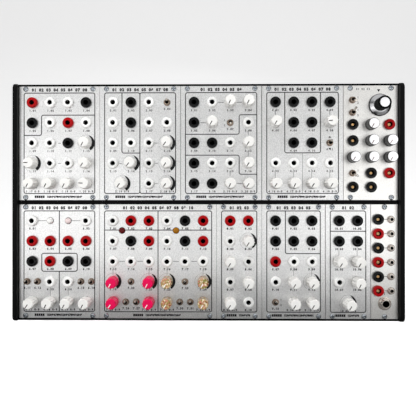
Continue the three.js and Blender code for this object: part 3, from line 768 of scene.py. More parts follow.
def screw_places(name):
    """Screws sit near the corners, and a narrow module has one at the top and one below."""
    x, z, width, height = centre_of(f"{name}_panel")
    aside = 0 if width < 2 * COLUMN_PITCH else width / 2 - SCREW_FROM_SIDE
    along = height / 2 - SCREW_FROM_EDGE
    sides = (0,) if aside == 0 else (-aside, aside)
    return [(x + dx, z + dz) for dx in sides for dz in (-along, along)]


# %% Drawing a plate
def closed_spline(curve, points):
    """Adds a closed line through (x, z) points in millimetres to a flat curve."""
    spline = curve.splines.new("POLY")
    spline.points.add(len(points) - 1)
    for point, (x, z) in zip(spline.points, points):
        point.co = (x * MM, z * MM, 0, 1)
    spline.use_cyclic_u = True


def hole_points(x, z, radius, stretch=0.0):
    """The edge of a round hole, or of a slot where stretch is more than zero."""
    points = []
    for step in range(HOLE_STEPS):
        angle = math.tau * (step + 0.5) / HOLE_STEPS
        push = math.copysign(stretch, math.cos(angle))
        points.append((x + push + radius * math.cos(angle), z + radius * math.sin(angle)))
    return points


def plate(name, module):
    """The plate of one module, made from a filled curve."""
    x, z, width, height = centre_of(f"{name}_panel")
    width -= 2 * NARROWER.get(name, 0)
    curve = bpy.data.curves.new(f"{name}_plate", "CURVE")
    curve.dimensions = "2D"
    curve.fill_mode = "BOTH"
    curve.extrude = PANEL_THICKNESS / 2 * MM
    corners = ((-1, -1), (1, -1), (1, 1), (-1, 1))
    closed_spline(curve, [(x + dx * width / 2, z + dz * height / 2) for dx, dz in corners])
    for control in of_module(name):
        radius = HOLE_RADII.get(control["kind"], SHAFT_HOLE)
        closed_spline(curve, hole_points(control["x"], control["z"], radius))
    for place in screw_places(name):
        closed_spline(curve, hole_points(*place, *SCREW_SLOT))
    mesh = settle_curve(linked(f"{name}_drawn", curve))
    mesh.transform(Matrix.Translation(at(0, 0, -PANEL_THICKNESS / 2)) @ UPRIGHT)
    thing = assembled(f"{name}_plate", [(mesh, module.get("metal", "blasted_aluminium"))])
    return softened(thing, PLATE_BEVEL, 2)


# %% Make the plates
for name, module in MODULES.items():
    made = placed(plate(name, module), stands_for=[f"{name}_panel"])
    print(made.name, len(made.data.polygons), "faces")

# %% [markdown]
# ## Copies on points
#
# More than a hundred sockets, forty-odd screws and dozens of nuts are copies of a few
# prototypes. Geometry Nodes puts a prototype on each point of a small point mesh. Each point
# carries its own turn, and a seeded random turn can be added, so that no two screws stop at the
# same angle. Instances are realized and given their finish, and the result becomes a plain mesh.

# %% The tree that copies
GEOMETRY = "NodeSocketGeometry"
MATERIAL = "NodeSocketMaterial"


def end_tree(tree, given, result, instances):
    """Makes instances real, gives them their finish and puts them out."""
    real = add(tree, "GeometryNodeRealizeInstances", {"Geometry": instances})
    coated = add(tree, "GeometryNodeSetMaterial", {"Geometry": real.outputs[0], "Material": given["Finish"]})
    tree.links.new(coated.outputs[0], result.inputs["Geometry"])
    return tree


def copies_tree():
    """A prototype on each point, turned by the point's own angle and by a random one."""
    tree, given, result = new_group(
        "copies on points", "GeometryNodeTree",
        [
            ("Points", GEOMETRY, None), ("Prototype", "NodeSocketObject", None), ("Loose turn", FLOAT, 0.0),
            ("Seed", "NodeSocketInt", 7), ("Finish", MATERIAL, None),
        ],
        [("Geometry", GEOMETRY)],
    )
    prototype = add(tree, "GeometryNodeObjectInfo", {"Object": given["Prototype"]})
    own_turn = add(tree, "GeometryNodeInputNamedAttribute", {"Name": "turn"}, data_type="FLOAT")
    loose = add(tree, "FunctionNodeRandomValue", {"Seed": given["Seed"], 2: -1.0, 3: 1.0}, data_type="FLOAT")
    turn = calculated(tree, "MULTIPLY_ADD", loose.outputs[1], given["Loose turn"], own_turn.outputs[0])
    angles = add(tree, "ShaderNodeCombineXYZ", {"Y": turn})
    rotation = add(tree, "FunctionNodeEulerToRotation", {0: angles.outputs[0]})
    copies = add(tree, "GeometryNodeInstanceOnPoints", {
        "Points": given["Points"], "Instance": prototype.outputs["Geometry"], "Rotation": rotation.outputs[0],
    })
    return end_tree(tree, given, result, copies.outputs[0])


COPIES = copies_tree()
print(COPIES.name, "takes", len(COPIES.nodes), "nodes")


# %% Making copies
def grown(name, mesh, tree, **values):
    """What a Geometry Nodes tree makes of a mesh, with its inputs set by their identifiers."""
    thing = linked(name, mesh)
    modifier = thing.modifiers.new("nodes", "NODES")
    modifier.node_group = tree
    for item in tree.interface.items_tree:
        key = item.name.lower().replace(" ", "_")
        if item.item_type == "SOCKET" and item.in_out == "INPUT" and key in values:
            modifier[item.identifier] = values[key]
    return settle(thing)


def copied(name, mesh, places, finish_name, turns=None, loose_turn=0.0):
    """Copies of one mesh at (x, z) places on the panels, as one piece of the case."""
    prototype = linked(f"{name}_prototype", mesh)
    points = bpy.data.meshes.new(name)
    points.from_pydata([at(x, z) for x, z in places], [], [])
    own = points.attributes.new("turn", "FLOAT", "POINT")
    own.data.foreach_set("value", turns or [0.0] * len(places))
    thing = grown(
        name, points, COPIES, prototype=prototype, loose_turn=loose_turn, seed=len(places),
        finish=finishes[finish_name],
    )
    bpy.data.objects.remove(prototype)
    print(name, len(places), "copies,", len(thing.data.polygons), "faces")
    placed(thing)


def spots(found):
    """The (x, z) places of some controls."""
    return [(c["x"], c["z"]) for c in found]


# %% [markdown]
# ## Banana sockets
#
# A banana socket shows a soft-shouldered plastic collar round a dark throat. The collar is
# turned with a generous curve on its shoulder. The dark of the throat is painted shade: a
# separate black cup goes down through the plate and stands in for the shade deep in the socket,
# so it stays dark from any side. Two modules have sockets of another make: their shoulder is
# squarer, and their throat is wider and ends in a brass contact.

# %% Sockets
SEAT = 0.02
SOCKET_RADIUS = 6.1
SOCKET_HEIGHT = 4.4
THROAT_RADIUS = 2.6
THROAT_DEPTH = 5.5
WIDE_THROAT_RADIUS = 2.8
WIDE_THROAT_DEPTH = 1.2
SHOULDER = 1.9
SQUARE_SHOULDER = 0.9
CONTACT_RADIUS = 1.6
CUP_PLAY = 0.08
CUP_WALL = 0.25


def collar(name, throat, shoulder):
    """A socket's plastic collar, with its stem in the plate's hole."""
    stem = SOCKET_RADIUS - 2.2
    return turned(name, [
        (throat - 0.1, -1.5), (stem, -1.5), (stem, SEAT), (SOCKET_RADIUS, SEAT, 0.1),
        (SOCKET_RADIUS, SOCKET_HEIGHT - 0.2, shoulder), (throat + 0.5, SOCKET_HEIGHT, 0.5),
        (throat, SOCKET_HEIGHT - 0.6, 0.3), (throat - 0.1, -1.5),
    ], ease_steps=4)


def cup(name, radius, top, depth):
    """A black cup that paints the shade inside a throat, open at the top and closed below."""
    return turned(name, [
        (0, -depth - 0.4), (radius + CUP_WALL, -depth - 0.4), (radius + CUP_WALL, top), (radius, top),
        (radius, -depth), (0, -depth),
    ], steps=24)


def has_brass(control):
    return MODULES[control["module"]].get("brass", False)


def has_no_brass(control):
    return not has_brass(control)


# The finish and the slot of each colour
SOCKET_COLORS = {
    "white": ("white_plastic", "white_knob"), "red": ("red_plastic", "black_plastic"),
    "black": ("black_plastic", "black_plastic"),
}
# The start of the name, which sockets are meant, their throat's radius and depth, and their shoulder
SOCKET_MAKES = [
    ("", has_no_brass, THROAT_RADIUS, THROAT_DEPTH, SHOULDER),
    ("wide_", has_brass, WIDE_THROAT_RADIUS, WIDE_THROAT_DEPTH, SQUARE_SHOULDER),
]
for color, (finish_name, slot) in SOCKET_COLORS.items():
    for make, test, throat, _, shoulder in SOCKET_MAKES:
        places = spots(every(color[0].upper(), test))
        if places:
            name = f"{make}{color}_sockets"
            copied(name, collar(name, throat, shoulder), places, finish_name)

# %% Throats and contacts
# The black cups are painted shade deep in each socket's throat; the brass contacts are real.
for make, test, throat, depth, _ in SOCKET_MAKES:
    throat_shade = cup("throat", throat - CUP_PLAY, SOCKET_HEIGHT - 0.75, depth)
    copied(f"{make}socket_throats", throat_shade, spots(every("WRB", test)), "throat_black")
contact = turned("contact", [
    (0, -4), (CONTACT_RADIUS, -4), (CONTACT_RADIUS, 1.3, 0.3), (0.95, 1.3, 0.1), (0.8, -0.6), (0, -0.9),
], steps=24)
copied("brass_contacts", contact, spots(every("WRB", has_brass)), "brass")

# %% [markdown]
# ## Small and large signal sockets
#
# The output strip has six mini sockets, each with a knurled nut, and one large socket near its
# foot. Each is a threaded barrel that stands out of its nut. The knurl is a ring rule with many
# shallow teeth, and a thread is a zigzag in the profile.


# %% Threads and knurls
THREAD_PITCH = 0.6
KNURL_TEETH = 36
KNURL_DEPTH = 0.018


def knurl(angle):
    """Small teeth round a nut that is turned by hand."""
    return 1 + KNURL_DEPTH * math.copysign(1, math.sin(KNURL_TEETH * angle))


def thread(radius, low, high, depth):
    """Profile points of a turned thread, from low to high."""
    points = []
    for index in range(int((high - low) / THREAD_PITCH)):
        start = low + index * THREAD_PITCH
        points += [(radius, start), (radius - depth, start + THREAD_PITCH / 2)]
    return [*points, (radius, high - 0.15), (radius - 0.25, high)]


# %% Mini sockets
MINI_HEIGHT = 4.5
MINI_BORE = 1.7
MINI_BARREL = 3.0
MINI_WASHER = 4.15
MINI_NUT = 3.95
MINI_DEPTH = 6
mini_nut = turned("mini_nut", [
    (MINI_BORE, -2), (MINI_BARREL, -2), (MINI_BARREL, SEAT), (MINI_WASHER, SEAT, 0.1),
    (MINI_WASHER, 0.5, 0.1), (MINI_NUT, 0.55, 0, knurl), (MINI_NUT, 1.75, 0, knurl), (3.6, 2.2, 0.2),
    (MINI_BARREL, 2.25),
    *thread(MINI_BARREL - 0.05, 2.4, MINI_HEIGHT, 0.15), (MINI_BORE + 0.2, MINI_HEIGHT, 0.2),
    (MINI_BORE, MINI_HEIGHT - 0.4, 0.2), (MINI_BORE, -2),
], steps=72)
# A black cup in the bore paints the shade inside it.
mini_throat = cup("mini_throat", MINI_BORE - CUP_PLAY, MINI_HEIGHT - 0.6, MINI_DEPTH)
copied("mini_socket_nuts", mini_nut, spots(every("M")), "old_nickel", loose_turn=3.0)
copied("mini_socket_throats", mini_throat, spots(every("M")), "throat_black")

# %% The large socket
LARGE_HEIGHT = 6.4
LARGE_BORE = 3.6
LARGE_BARREL = 4.8
LARGE_WASHER = 7.6
LARGE_NUT = 6.7
LARGE_DEPTH = 16
large_nut = turned("large_nut", [
    (LARGE_BORE, -4), (5.6, -4), (5.6, SEAT), (LARGE_WASHER, SEAT, 0.1), (LARGE_WASHER, 0.7, 0.2), (6.9, 0.8),
    (LARGE_NUT, 0.9, 0.1, hexagon), (LARGE_NUT, 2.7, 0.2, hexagon), (5.5, 3.2, 0.1), (LARGE_BARREL, 3.25),
    *thread(LARGE_BARREL - 0.05, 3.4, LARGE_HEIGHT, 0.2), (LARGE_BORE + 0.3, LARGE_HEIGHT, 0.3),
    (LARGE_BORE, LARGE_HEIGHT - 0.5, 0.2), (LARGE_BORE, -4),
], steps=48)
# A black cup in the bore paints the shade inside it.
large_throat = cup("large_throat", LARGE_BORE - CUP_PLAY, LARGE_HEIGHT - 0.7, LARGE_DEPTH)
copied("large_socket_nut", large_nut, spots(every("H")), "old_nickel")
copied("large_socket_throat", large_throat, spots(every("H")), "throat_black")

# %% [markdown]
# ## Panel screws
#
# Zinc-plated machine screws with a domed head and a cross recess. The recess is one more ring
# rule: it pulls the inner rings into the shape of a cross.

# %% Screws
HEAD_RADIUS = 3.0
HEAD_HEIGHT = 2.1
SHANK_RADIUS = 1.45
SHANK_LENGTH = 6
CROSS_REACH = 1.75
CROSS_FLOOR = 0.2
screw = turned("screw", [
    (0, -SHANK_LENGTH), (SHANK_RADIUS, -SHANK_LENGTH, 0.3), (SHANK_RADIUS, SEAT), (HEAD_RADIUS, SEAT, 0.15),
    (HEAD_RADIUS, 0.6, 0.4), (2.7, 1.6, 0.7), (1.8, HEAD_HEIGHT, 0.3), (CROSS_REACH, HEAD_HEIGHT, 0, cross),
    (1.3, CROSS_FLOOR, 0, cross), (0, -0.4),
], steps=48, ease_steps=4)
all_screws = [place for name in MODULES for place in screw_places(name)]
copied("panel_screws", screw, all_screws, "zinc", loose_turn=3.0)

# %% [markdown]
# ## Toggle switches
#
# A toggle has a hexagon nut on a threaded bush, and a tapered lever with a rounded tip that
# leans up or down in it. The levers of the warm grey module are longer than the others. Nuts and
# bushes belong to the case. Levers of jointed modules are pieces of their own and ride on their
# own bodies; the joints of the record say where each one turns.

# %% Nuts and bushes
NUT_RADIUS = 3.85
NUT_HEIGHT = 1.75
NUT_WASHER = 3.9
NUT_BORE = 2.5
BUSH_RADIUS = 2.9
BUSH_HEIGHT = 5.4
BUSH_BORE = 1.9
nut = turned("nut", [
    (NUT_BORE, SEAT), (NUT_WASHER, SEAT, 0.1), (NUT_WASHER, 0.3, 0.1), (NUT_RADIUS, 0.34, 0, hexagon),
    (NUT_RADIUS, 1.4, 0, hexagon), (3.3, NUT_HEIGHT, 0.1), (NUT_BORE, NUT_HEIGHT), (NUT_BORE, SEAT),
], steps=48)
bush = turned("bush", [
    (0, -2.5), (BUSH_RADIUS, -2.5), *thread(BUSH_RADIUS, -2.3, BUSH_HEIGHT, 0.22),
    (BUSH_BORE + 0.15, BUSH_HEIGHT, 0.15), (BUSH_BORE, 0.5), (0, 0.2),
], steps=24)
# A black cup in each bush paints the shade inside it.
toggle_throat = cup("toggle_throat", BUSH_BORE - 0.06, BUSH_HEIGHT - 0.5, -0.6)
toggles = every("TV")
for name, mesh in (("toggle_nuts", nut), ("toggle_bushes", bush)):
    copied(name, mesh, spots(toggles), "tarnished_nickel", loose_turn=3.0)
copied("toggle_throats", toggle_throat, spots(toggles), "throat_black")

# %% Levers
PIVOT_HEIGHT = 2.1
LEVER_TILT = 12.0
LEVER_FOOT = 0.85
SHORT_LEVER = (9.6, 1.25)
LONG_LEVER = (15.0, 1.5)


def lever(name, length, tip):
    """A lever from its pivot to its rounded tip, which has the given radius."""
    return turned(name, [
        (0, -1.5), (LEVER_FOOT, -1.5, 0.3), (LEVER_FOOT - 0.05, 1.0), (tip, length - 1.2, 0.4),
        (tip - 0.05, length, 0.9), (0, length),
    ], steps=20, ease_steps=4)


def lever_move(control):
    """Leans a lever about its pivot and puts it in its bush."""
    lean = LEVER_TILT if control["kind"] == "V" else -LEVER_TILT
    pivot = at(control["x"], control["z"], PIVOT_HEIGHT)
    return Matrix.Translation(pivot) @ Matrix.Rotation(math.radians(lean), 4, "X")


short_lever = lever("short_lever", *SHORT_LEVER)
long_lever = lever("long_lever", *LONG_LEVER)
print("levers", SHORT_LEVER[0], "and", LONG_LEVER[0], "mm long")

# %% Which controls move
PIVOT_SLACK = 2e-4
joints = {joint["child"]: joint for joint in frame["joints"]}
jointed = sorted({name.rsplit("_", 2)[0] for name in joints if "_knob_" in name})


def numbered(kinds, word):
    """Pairs each moving control with its CAD node, in the order in which the record counts them."""
    pairs = []
    for name in jointed:
        for index, control in enumerate(of_module(name, kinds)):
            node = f"{name}_{word}_{index + 1}"
            off = Vector(joints[node]["pos_m"]) - at(control["x"], control["z"])
            assert max(abs(off.x), abs(off.z)) < PIVOT_SLACK, node
            pairs.append((control, node))
    return pairs


moving_levers = numbered("TV", "toggle")
fixed_levers = [c for c in toggles if c["module"] not in jointed]
print(len(moving_levers), "moving levers,", len(fixed_levers), "fixed ones in the modules besides", jointed)

# %% Place the levers
for control, node in moving_levers:
    shape = long_lever if has_brass(control) else short_lever
    thing = assembled(f"{node}_lever", [(shape, "lever_metal")], lever_move(control))
    placed(thing, node, [node])
for count, control in enumerate(fixed_levers, 1):
    name = f"{control['module']}_lever_{count}"
    placed(assembled(name, [(short_lever, "lever_metal")], lever_move(control)))
print(len(moving_levers) + len(fixed_levers), "levers in place")

# %% [markdown]
# ## Lamps
#
# Four small round lamps with domed lenses, each in a thin black bezel. The lens colours are
# those of the unlit plastic: white, pale pink, dark red and amber.

# %% Lamps
LAMP_RADIUS = 3.8
LAMP_HEIGHT = 3.6
LENS_GAP = 0.35
bezel = turned("bezel", [
    (1.9, -1), (2.3, -1), (2.3, SEAT), (LAMP_RADIUS, SEAT, 0.1), (LAMP_RADIUS, 0.6, 0.2),
    (LAMP_RADIUS - 0.4, 0.8), (1.9, 0.7), (1.9, -1),
], steps=28)
lens = turned("lens", [
    (0, -1), (1.85, -1), (1.85, 0.6), (LAMP_RADIUS - LENS_GAP, 0.6), (LAMP_RADIUS - LENS_GAP, 1.4, 0.2),
    (LAMP_RADIUS - 0.9, 3.0, 1.1), (0, LAMP_HEIGHT),
], steps=28, ease_steps=5)
lamps = every("L")
copied("lamp_bezels", bezel, spots(lamps), "black_plastic")
for count, (control, finish_name) in enumerate(zip(lamps, LAMP_LENSES), 1):
    move = Matrix.Translation(at(control["x"], control["z"]))
    placed(assembled(f"lamp_lens_{count}", [(lens, finish_name)], move))

# %% [markdown]
# ## Knobs
#
# The main knob is a tall moulding with a dozen concave flutes that fade out at a smooth, slightly
# sunken top, and an inlaid pointer line. The rule of its rings gets weaker towards the top,
# which is what makes the flutes fade. No player sets two pointers quite alike, so each knob is
# turned a few degrees off, by a seeded draw. Knobs that turn are pieces of their own. All others
# are copies on points, like the sockets.

# %% The fluted knob
KNOB_HEIGHT = 17.5
KNOB_RADIUS = 6.6
KNOB_CAP_RADIUS = 5.1
KNOB_FLUTES = 12
FLUTE_DEPTH = 0.11
CROWN_SHARE = 0.6
HOLLOW_RADIUS = 5.2
skirt = flutes(KNOB_FLUTES, FLUTE_DEPTH)
crown = flutes(KNOB_FLUTES, FLUTE_DEPTH * CROWN_SHARE)
white_body = turned("white_knob_body", [
    (0, 0.6), (HOLLOW_RADIUS, 0.6), (5.6, 0, 0.1), (KNOB_RADIUS, 0, 0.2, crown),
    (KNOB_RADIUS, 0.9, 0.3, skirt), (6.45, 8.0, 0, skirt), (6.3, 16.0, 0.5, skirt), (5.8, 16.9, 0.3, crown),
    (KNOB_CAP_RADIUS, KNOB_HEIGHT, 0.6), (KNOB_CAP_RADIUS / 2, KNOB_HEIGHT - 0.12), (0, KNOB_HEIGHT - 0.15),
], steps=96)
print("fluted knob,", len(white_body.polygons), "faces")

# %% The capped knob
DARK_RADIUS = 6.5
DARK_HEIGHT = 13.7
DARK_RIBS = 24
RIB_DEPTH = 0.06
SILVER_RADIUS = 5.5
SILVER_HEIGHT = 14.6
ribs = flutes(DARK_RIBS, RIB_DEPTH)
dark_body = turned("dark_knob_body", [
    (0, 0.6), (HOLLOW_RADIUS, 0.6), (5.6, 0, 0.1), (DARK_RADIUS, 0, 0.3), (DARK_RADIUS, 2.2, 0.3),
    (6.35, 2.6, 0, ribs), (6.15, 12.2, 0, ribs), (6.1, 12.8, 0.2), (6.0, DARK_HEIGHT, 0.3),
    (SILVER_RADIUS, DARK_HEIGHT, 0.1), (0, DARK_HEIGHT),
], steps=144)
silver_cap = turned("silver_cap", [
    (0, 13.5), (SILVER_RADIUS, 13.5), (SILVER_RADIUS, 14.5, 0.25), (5.2, SILVER_HEIGHT, 0.1),
    (0, SILVER_HEIGHT),
], steps=48)
print("capped knob,", len(dark_body.polygons) + len(silver_cap.polygons), "faces")

# %% Pointers and shaft
SHAFT_RADIUS = 3
SHAFT_LENGTH = 9
POINTER_WIDTH = 1.0
FINE_POINTER_WIDTH = 0.85
POINTER_SINK = 0.3
POINTER_PROUD = 0.05
KNOB_POINTER = [(0.4, 17.36), (2.6, 17.38), (4.6, 17.47), (5.2, 17.3), (5.7, 16.9)]
CAP_POINTER = [(0.8, SILVER_HEIGHT), (5.0, SILVER_HEIGHT)]


def banded(name, vertices, closed=False):
    """A band with four points at each step. Its two ends are closed, or joined to each other."""
    count = len(vertices) // 4
    faces = []
    for index in range(count if closed else count - 1):
        a, b = index * 4, (index + 1) % count * 4
        for i, j in ((0, 1), (1, 3), (3, 2), (2, 0)):
            faces.append([a + i, a + j, b + j, b + i])
    if not closed:
        last = len(vertices) - 4
        faces += [[0, 1, 3, 2], [last, last + 1, last + 3, last + 2]]
    return as_mesh(name, vertices, faces, smooth=False)


def pointer_strip(name, points, width):
    """An inlaid line that follows (radius, height) points up to the rim, pointing straight up."""
    return banded(name, [
        (side * width * MM, -(height + lift) * MM, radius * MM)
        for radius, height in points for side in (-0.5, 0.5) for lift in (-POINTER_SINK, POINTER_PROUD)
    ])


pointer = pointer_strip("pointer", KNOB_POINTER, POINTER_WIDTH)
fine_pointer = pointer_strip("fine_pointer", CAP_POINTER, FINE_POINTER_WIDTH)
knob_shaft = turned("knob_shaft", [
    (0, -SHAFT_LENGTH), (SHAFT_RADIUS, -SHAFT_LENGTH, 0.3), (SHAFT_RADIUS, 0.7), (0, 0.7),
], steps=24)
print("pointers of", len(pointer.polygons), "and", len(fine_pointer.polygons), "faces")

# %% Knobs that turn
KNOB_LIFT = 0.5
POINTER_LOW = -149
POINTER_SIDE = -92
POINTER_WANDER = 6
KNOB_PARTS = {
    "white": ([(white_body, "ivory_plastic"), (pointer, "black_ink")], "white_knob"),
    "pink": ([(white_body, "pink_plastic"), (pointer, "white_ink")], "pink_knob"),
    "gold": ([(white_body, "gold_confetti"), (pointer, "white_ink")], "gold_knob"),
    "dark": (
        [(dark_body, "dark_plastic"), (silver_cap, "bright_cap"), (fine_pointer, "brown_ink")], "dark_knob",
    ),
}


def knob_turn(control):
    """The angle of a knob's pointer from straight up, clockwise as the player sees it."""
    middle = POINTER_SIDE if control["kind"] in "kc" else POINTER_LOW
    return math.radians(middle + POINTER_WANDER * control["wander"])


def knob_move(control):
    """Turns a knob and puts it on its shaft."""
    spot = at(control["x"], control["z"], KNOB_LIFT)
    return Matrix.Translation(spot) @ Matrix.Rotation(knob_turn(control), 4, "Y")


moving_knobs = numbered("KkCc", "knob")
for control, node in moving_knobs:
    left, right = MODULES[control["module"]].get("knobs", ("white", "white"))
    parts, slot = KNOB_PARTS[left if control["left"] else right]
    thing = assembled(f"{node}_cap", [*parts, (knob_shaft, "nickel")], knob_move(control))
    placed(thing, node, [node])
print(len(moving_knobs), "moving knobs")

# %% Knobs that stay
fixed_knobs = every("KkCc", lambda c: c["module"] not in jointed)
lifted = Matrix.Translation(at(0, 0, KNOB_LIFT) - at(0, 0))
for mesh in (white_body, pointer):
    mesh.transform(lifted)
turns = [knob_turn(control) for control in fixed_knobs]
copied("fixed_knobs", white_body, spots(fixed_knobs), "ivory_plastic", turns)
copied("fixed_knob_pointers", pointer, spots(fixed_knobs), "black_ink", turns)

# %% [markdown]
# ## The large dial
#
# The dial has a spun aluminium skirt let into a black base, a ribbed black grip and a bright
# cap. The skirt rises to the grip as a low cone, so each side of it mirrors another part of the
# room, and bright and dark sectors show. Spinning leaves fine rings in the metal, so the skirt's
# finish adds rings to its bump, measured from the dial's own centre by a Mapping node.

# %% Shapes of the dial
BASE_RADIUS = 12.4
CONE_FOOT = 11.85
CONE_TOP = 7.9
CONE_HEIGHT = 3.9
GRIP_RADIUS = 7.2
GRIP_HEIGHT = 19.1
GRIP_RIBS = 30
DIAL_CAP_RADIUS = 5.3
DIAL_HEIGHT = 19.5
dial_base = turned("dial_base", [
    (0, 0.3), (10.5, 0.3), (11.2, 0, 0.2), (BASE_RADIUS, 0, 0.2), (BASE_RADIUS, 1.3, 0.2), (12.0, 1.6, 0.1),
    (8.0, 1.7), (0, 1.7),
], steps=72)
dial_skirt = turned("dial_skirt", [
    (0, 1.5), (11.7, 1.5), (CONE_FOOT, 1.75, 0.1), (CONE_TOP, CONE_HEIGHT, 0.3), (0, CONE_HEIGHT),
], steps=72)
shallow_ribs = flutes(GRIP_RIBS, 0.02)
deep_ribs = flutes(GRIP_RIBS, 0.05)
dial_grip = turned("dial_grip", [
    (0, 3.6), (GRIP_RADIUS, 3.6, 0.2), (GRIP_RADIUS, 4.4, 0.2, shallow_ribs), (7.1, 5.0, 0.2, deep_ribs),
    (7.3, 17.6, 0.3, deep_ribs), (7.4, 18.7, 0.3), (7.1, GRIP_HEIGHT, 0.2), (0, GRIP_HEIGHT),
], steps=180)
dial_cap = turned("dial_cap", [
    (0, 18.8), (DIAL_CAP_RADIUS, 18.8), (DIAL_CAP_RADIUS, 19.3, 0.25), (4.9, DIAL_HEIGHT, 0.15),
    (0, DIAL_HEIGHT),
], steps=48)
print("dial", 2 * BASE_RADIUS, "mm wide and", DIAL_HEIGHT, "mm high")

# %% Spun metal and the whole dial
RING_SCALE = 420.0
RING_BUMP = 0.35
RING_DEPTH = 0.00005
dial_control = every("D")[0]


def spun_metal(control):
    """Bright aluminium with rings round the dial's own centre."""
    material = finish("spun_aluminium", (0.5, 0.5, 0.51), 0.16, 1.0, grain=0.1, scale=1600, bump=0.05)
    tree = material.node_tree
    centre = at(control["x"], control["z"])
    own = add(tree, "ShaderNodeMapping", {
        "Vector": add(tree, "ShaderNodeTexCoord").outputs["Object"],
        "Location": (-centre.x, 0, -centre.z), "Scale": (1, 0, 1),
    })
    rings = add(
        tree, "ShaderNodeTexWave", {"Vector": own.outputs[0], "Scale": RING_SCALE, "Distortion": 0.4},
        wave_type="RINGS", rings_direction="SPHERICAL",
    )
    relief = add(tree, "ShaderNodeBump", {
        "Height": rings.outputs["Fac"], "Strength": RING_BUMP, "Distance": RING_DEPTH,
    })
    tree.links.new(relief.outputs["Normal"], tree.nodes["Principled BSDF"].inputs["Normal"])


spun_metal(dial_control)
dial_parts = [
    (dial_base, "anodised_black"), (dial_skirt, "spun_aluminium"), (dial_grip, "anodised_black"),
    (dial_cap, "bright_cap"), (knob_shaft, "nickel"),
]
dial_move = Matrix.Translation(at(dial_control["x"], dial_control["z"], KNOB_LIFT))
dial = assembled("upper_5_dial_knob", dial_parts, dial_move)
placed(dial, "upper_5_dial", ["upper_5_dial"])
print(dial.name, len(dial.data.polygons), "faces")

# %% [markdown]
# ## Printed lines
#
# The front of each module is divided by thin printed lines with rounded corners, and short grey
# ones link controls that belong together. A line is given as a few corner points in columns and
# rows. Geometry Nodes rounds the corners with a fillet and sweeps a flat strip along the path,
# so a line's width is one named value.


# %% The tree that prints a line
PRINT_THICKNESS = 0.08
PRINT_CORNER = 2.2
LINE_WIDTH = 1.0
LINK_WIDTH = 0.55


def print_tree():
    """A flat strip along a path, with rounded corners."""
    tree, given, result = new_group(
        "printed line", "GeometryNodeTree",
        [
            ("Path", GEOMETRY, None), ("Width", FLOAT, 0.0004), ("Thickness", FLOAT, 0.00008),
            ("Corner", FLOAT, 0.002), ("Finish", MATERIAL, None),
        ],
        [("Geometry", GEOMETRY)],
    )
    path = add(tree, "GeometryNodeMeshToCurve", {"Mesh": given["Path"]})
    rounded = add(tree, "GeometryNodeFilletCurve", {
        "Curve": path.outputs[0], "Radius": given["Corner"], "Count": 4, "Limit Radius": True,
    }, mode="POLY")
    flat = add(tree, "GeometryNodeSetCurveNormal", {
        "Curve": rounded.outputs[0], "Normal": (0.0, 1.0, 0.0),
    }, mode="FREE")
    strip = add(tree, "GeometryNodeCurvePrimitiveQuadrilateral", {
        "Width": given["Thickness"], "Height": given["Width"],
    })
    swept = add(tree, "GeometryNodeCurveToMesh", {
        "Curve": flat.outputs[0], "Profile Curve": strip.outputs[0], "Fill Caps": True,
    })
    return end_tree(tree, given, result, swept.outputs[0])


PRINT = print_tree()
print(PRINT.name, "takes", len(PRINT.nodes), "nodes")


# %% Short ways to say where a line runs, in columns and rows
SIDE = 0.475
TOP = -0.485
FOOT = 4.485
BELOW = 0.61
PAIR_DROP = 0.2


def frame_box(left, right):
    """A frame round the whole height of some columns."""
    return [(left, TOP), (right, TOP), (right, FOOT), (left, FOOT), (left, TOP)]


def framed(columns):
    """A frame round all columns of a module."""
    return frame_box(-SIDE, columns - 1 + SIDE)


def dash(column, row, half=0.07):
    """A short line across a place."""
    return [(column - half, row), (column + half, row)]


def link(column, row):
    """A short line between a control and the next one in its row."""
    return dash(column + 0.5, row, 0.15)


def drop(column, row, half=0.12):
    """A short line between a control and the next one below it."""
    return [(column, row + 0.5 - half), (column, row + 0.5 + half)]


def drops(columns, row):
    """Longer ones below several controls of a row."""
    return [drop(column, row, PAIR_DROP) for column in columns]


# %% Frames and dividing lines
LINES = {
    "upper_1": [framed(4), [(3 + SIDE, BELOW), (0.5, BELOW), (0.5, 1 + BELOW), (-SIDE, 1 + BELOW)]],
    "upper_2": [frame_box(-SIDE, 1.49), frame_box(1.49, 3 + SIDE), [(0.49, TOP), (0.49, 2.49), (1.49, 2.49)]],
    "upper_3": [
        framed(4), [(-SIDE, 1.57), (2.5, 1.57), (2.5, BELOW), (3 + SIDE, BELOW)],
        [(-SIDE, 2.6), (2.5, 2.6), (2.5, 3.54), (3 + SIDE, 3.54)],
    ],
    "upper_4": [framed(4), [(0.52, TOP), (0.52, 2.49), (2.49, 2.49), (2.49, TOP)]],
    "lower_1": [
        framed(4), [(0.52, 1.61), (2.5, 1.61), (2.5, 2.5), (0.52, 2.5), (0.52, 1.61)],
        [(1.5, TOP), (1.5, 1.61)], [(1.5, 2.5), (1.5, FOOT)],
    ],
    "lower_2": [framed(6), [(2.5, TOP), (2.5, FOOT)], [(-SIDE, 0.46), (5 + SIDE, 0.46)]],
    "lower_3": [framed(2)],
    "lower_4": [framed(3), [(0.55, TOP), (0.55, 1 + BELOW), (2 + SIDE, 1 + BELOW)]],
    "lower_5": [framed(2), [(-SIDE, 0.51), (1 + SIDE, 0.51)]],
}
print(sum(len(lines) for lines in LINES.values()), "frames and dividing lines")

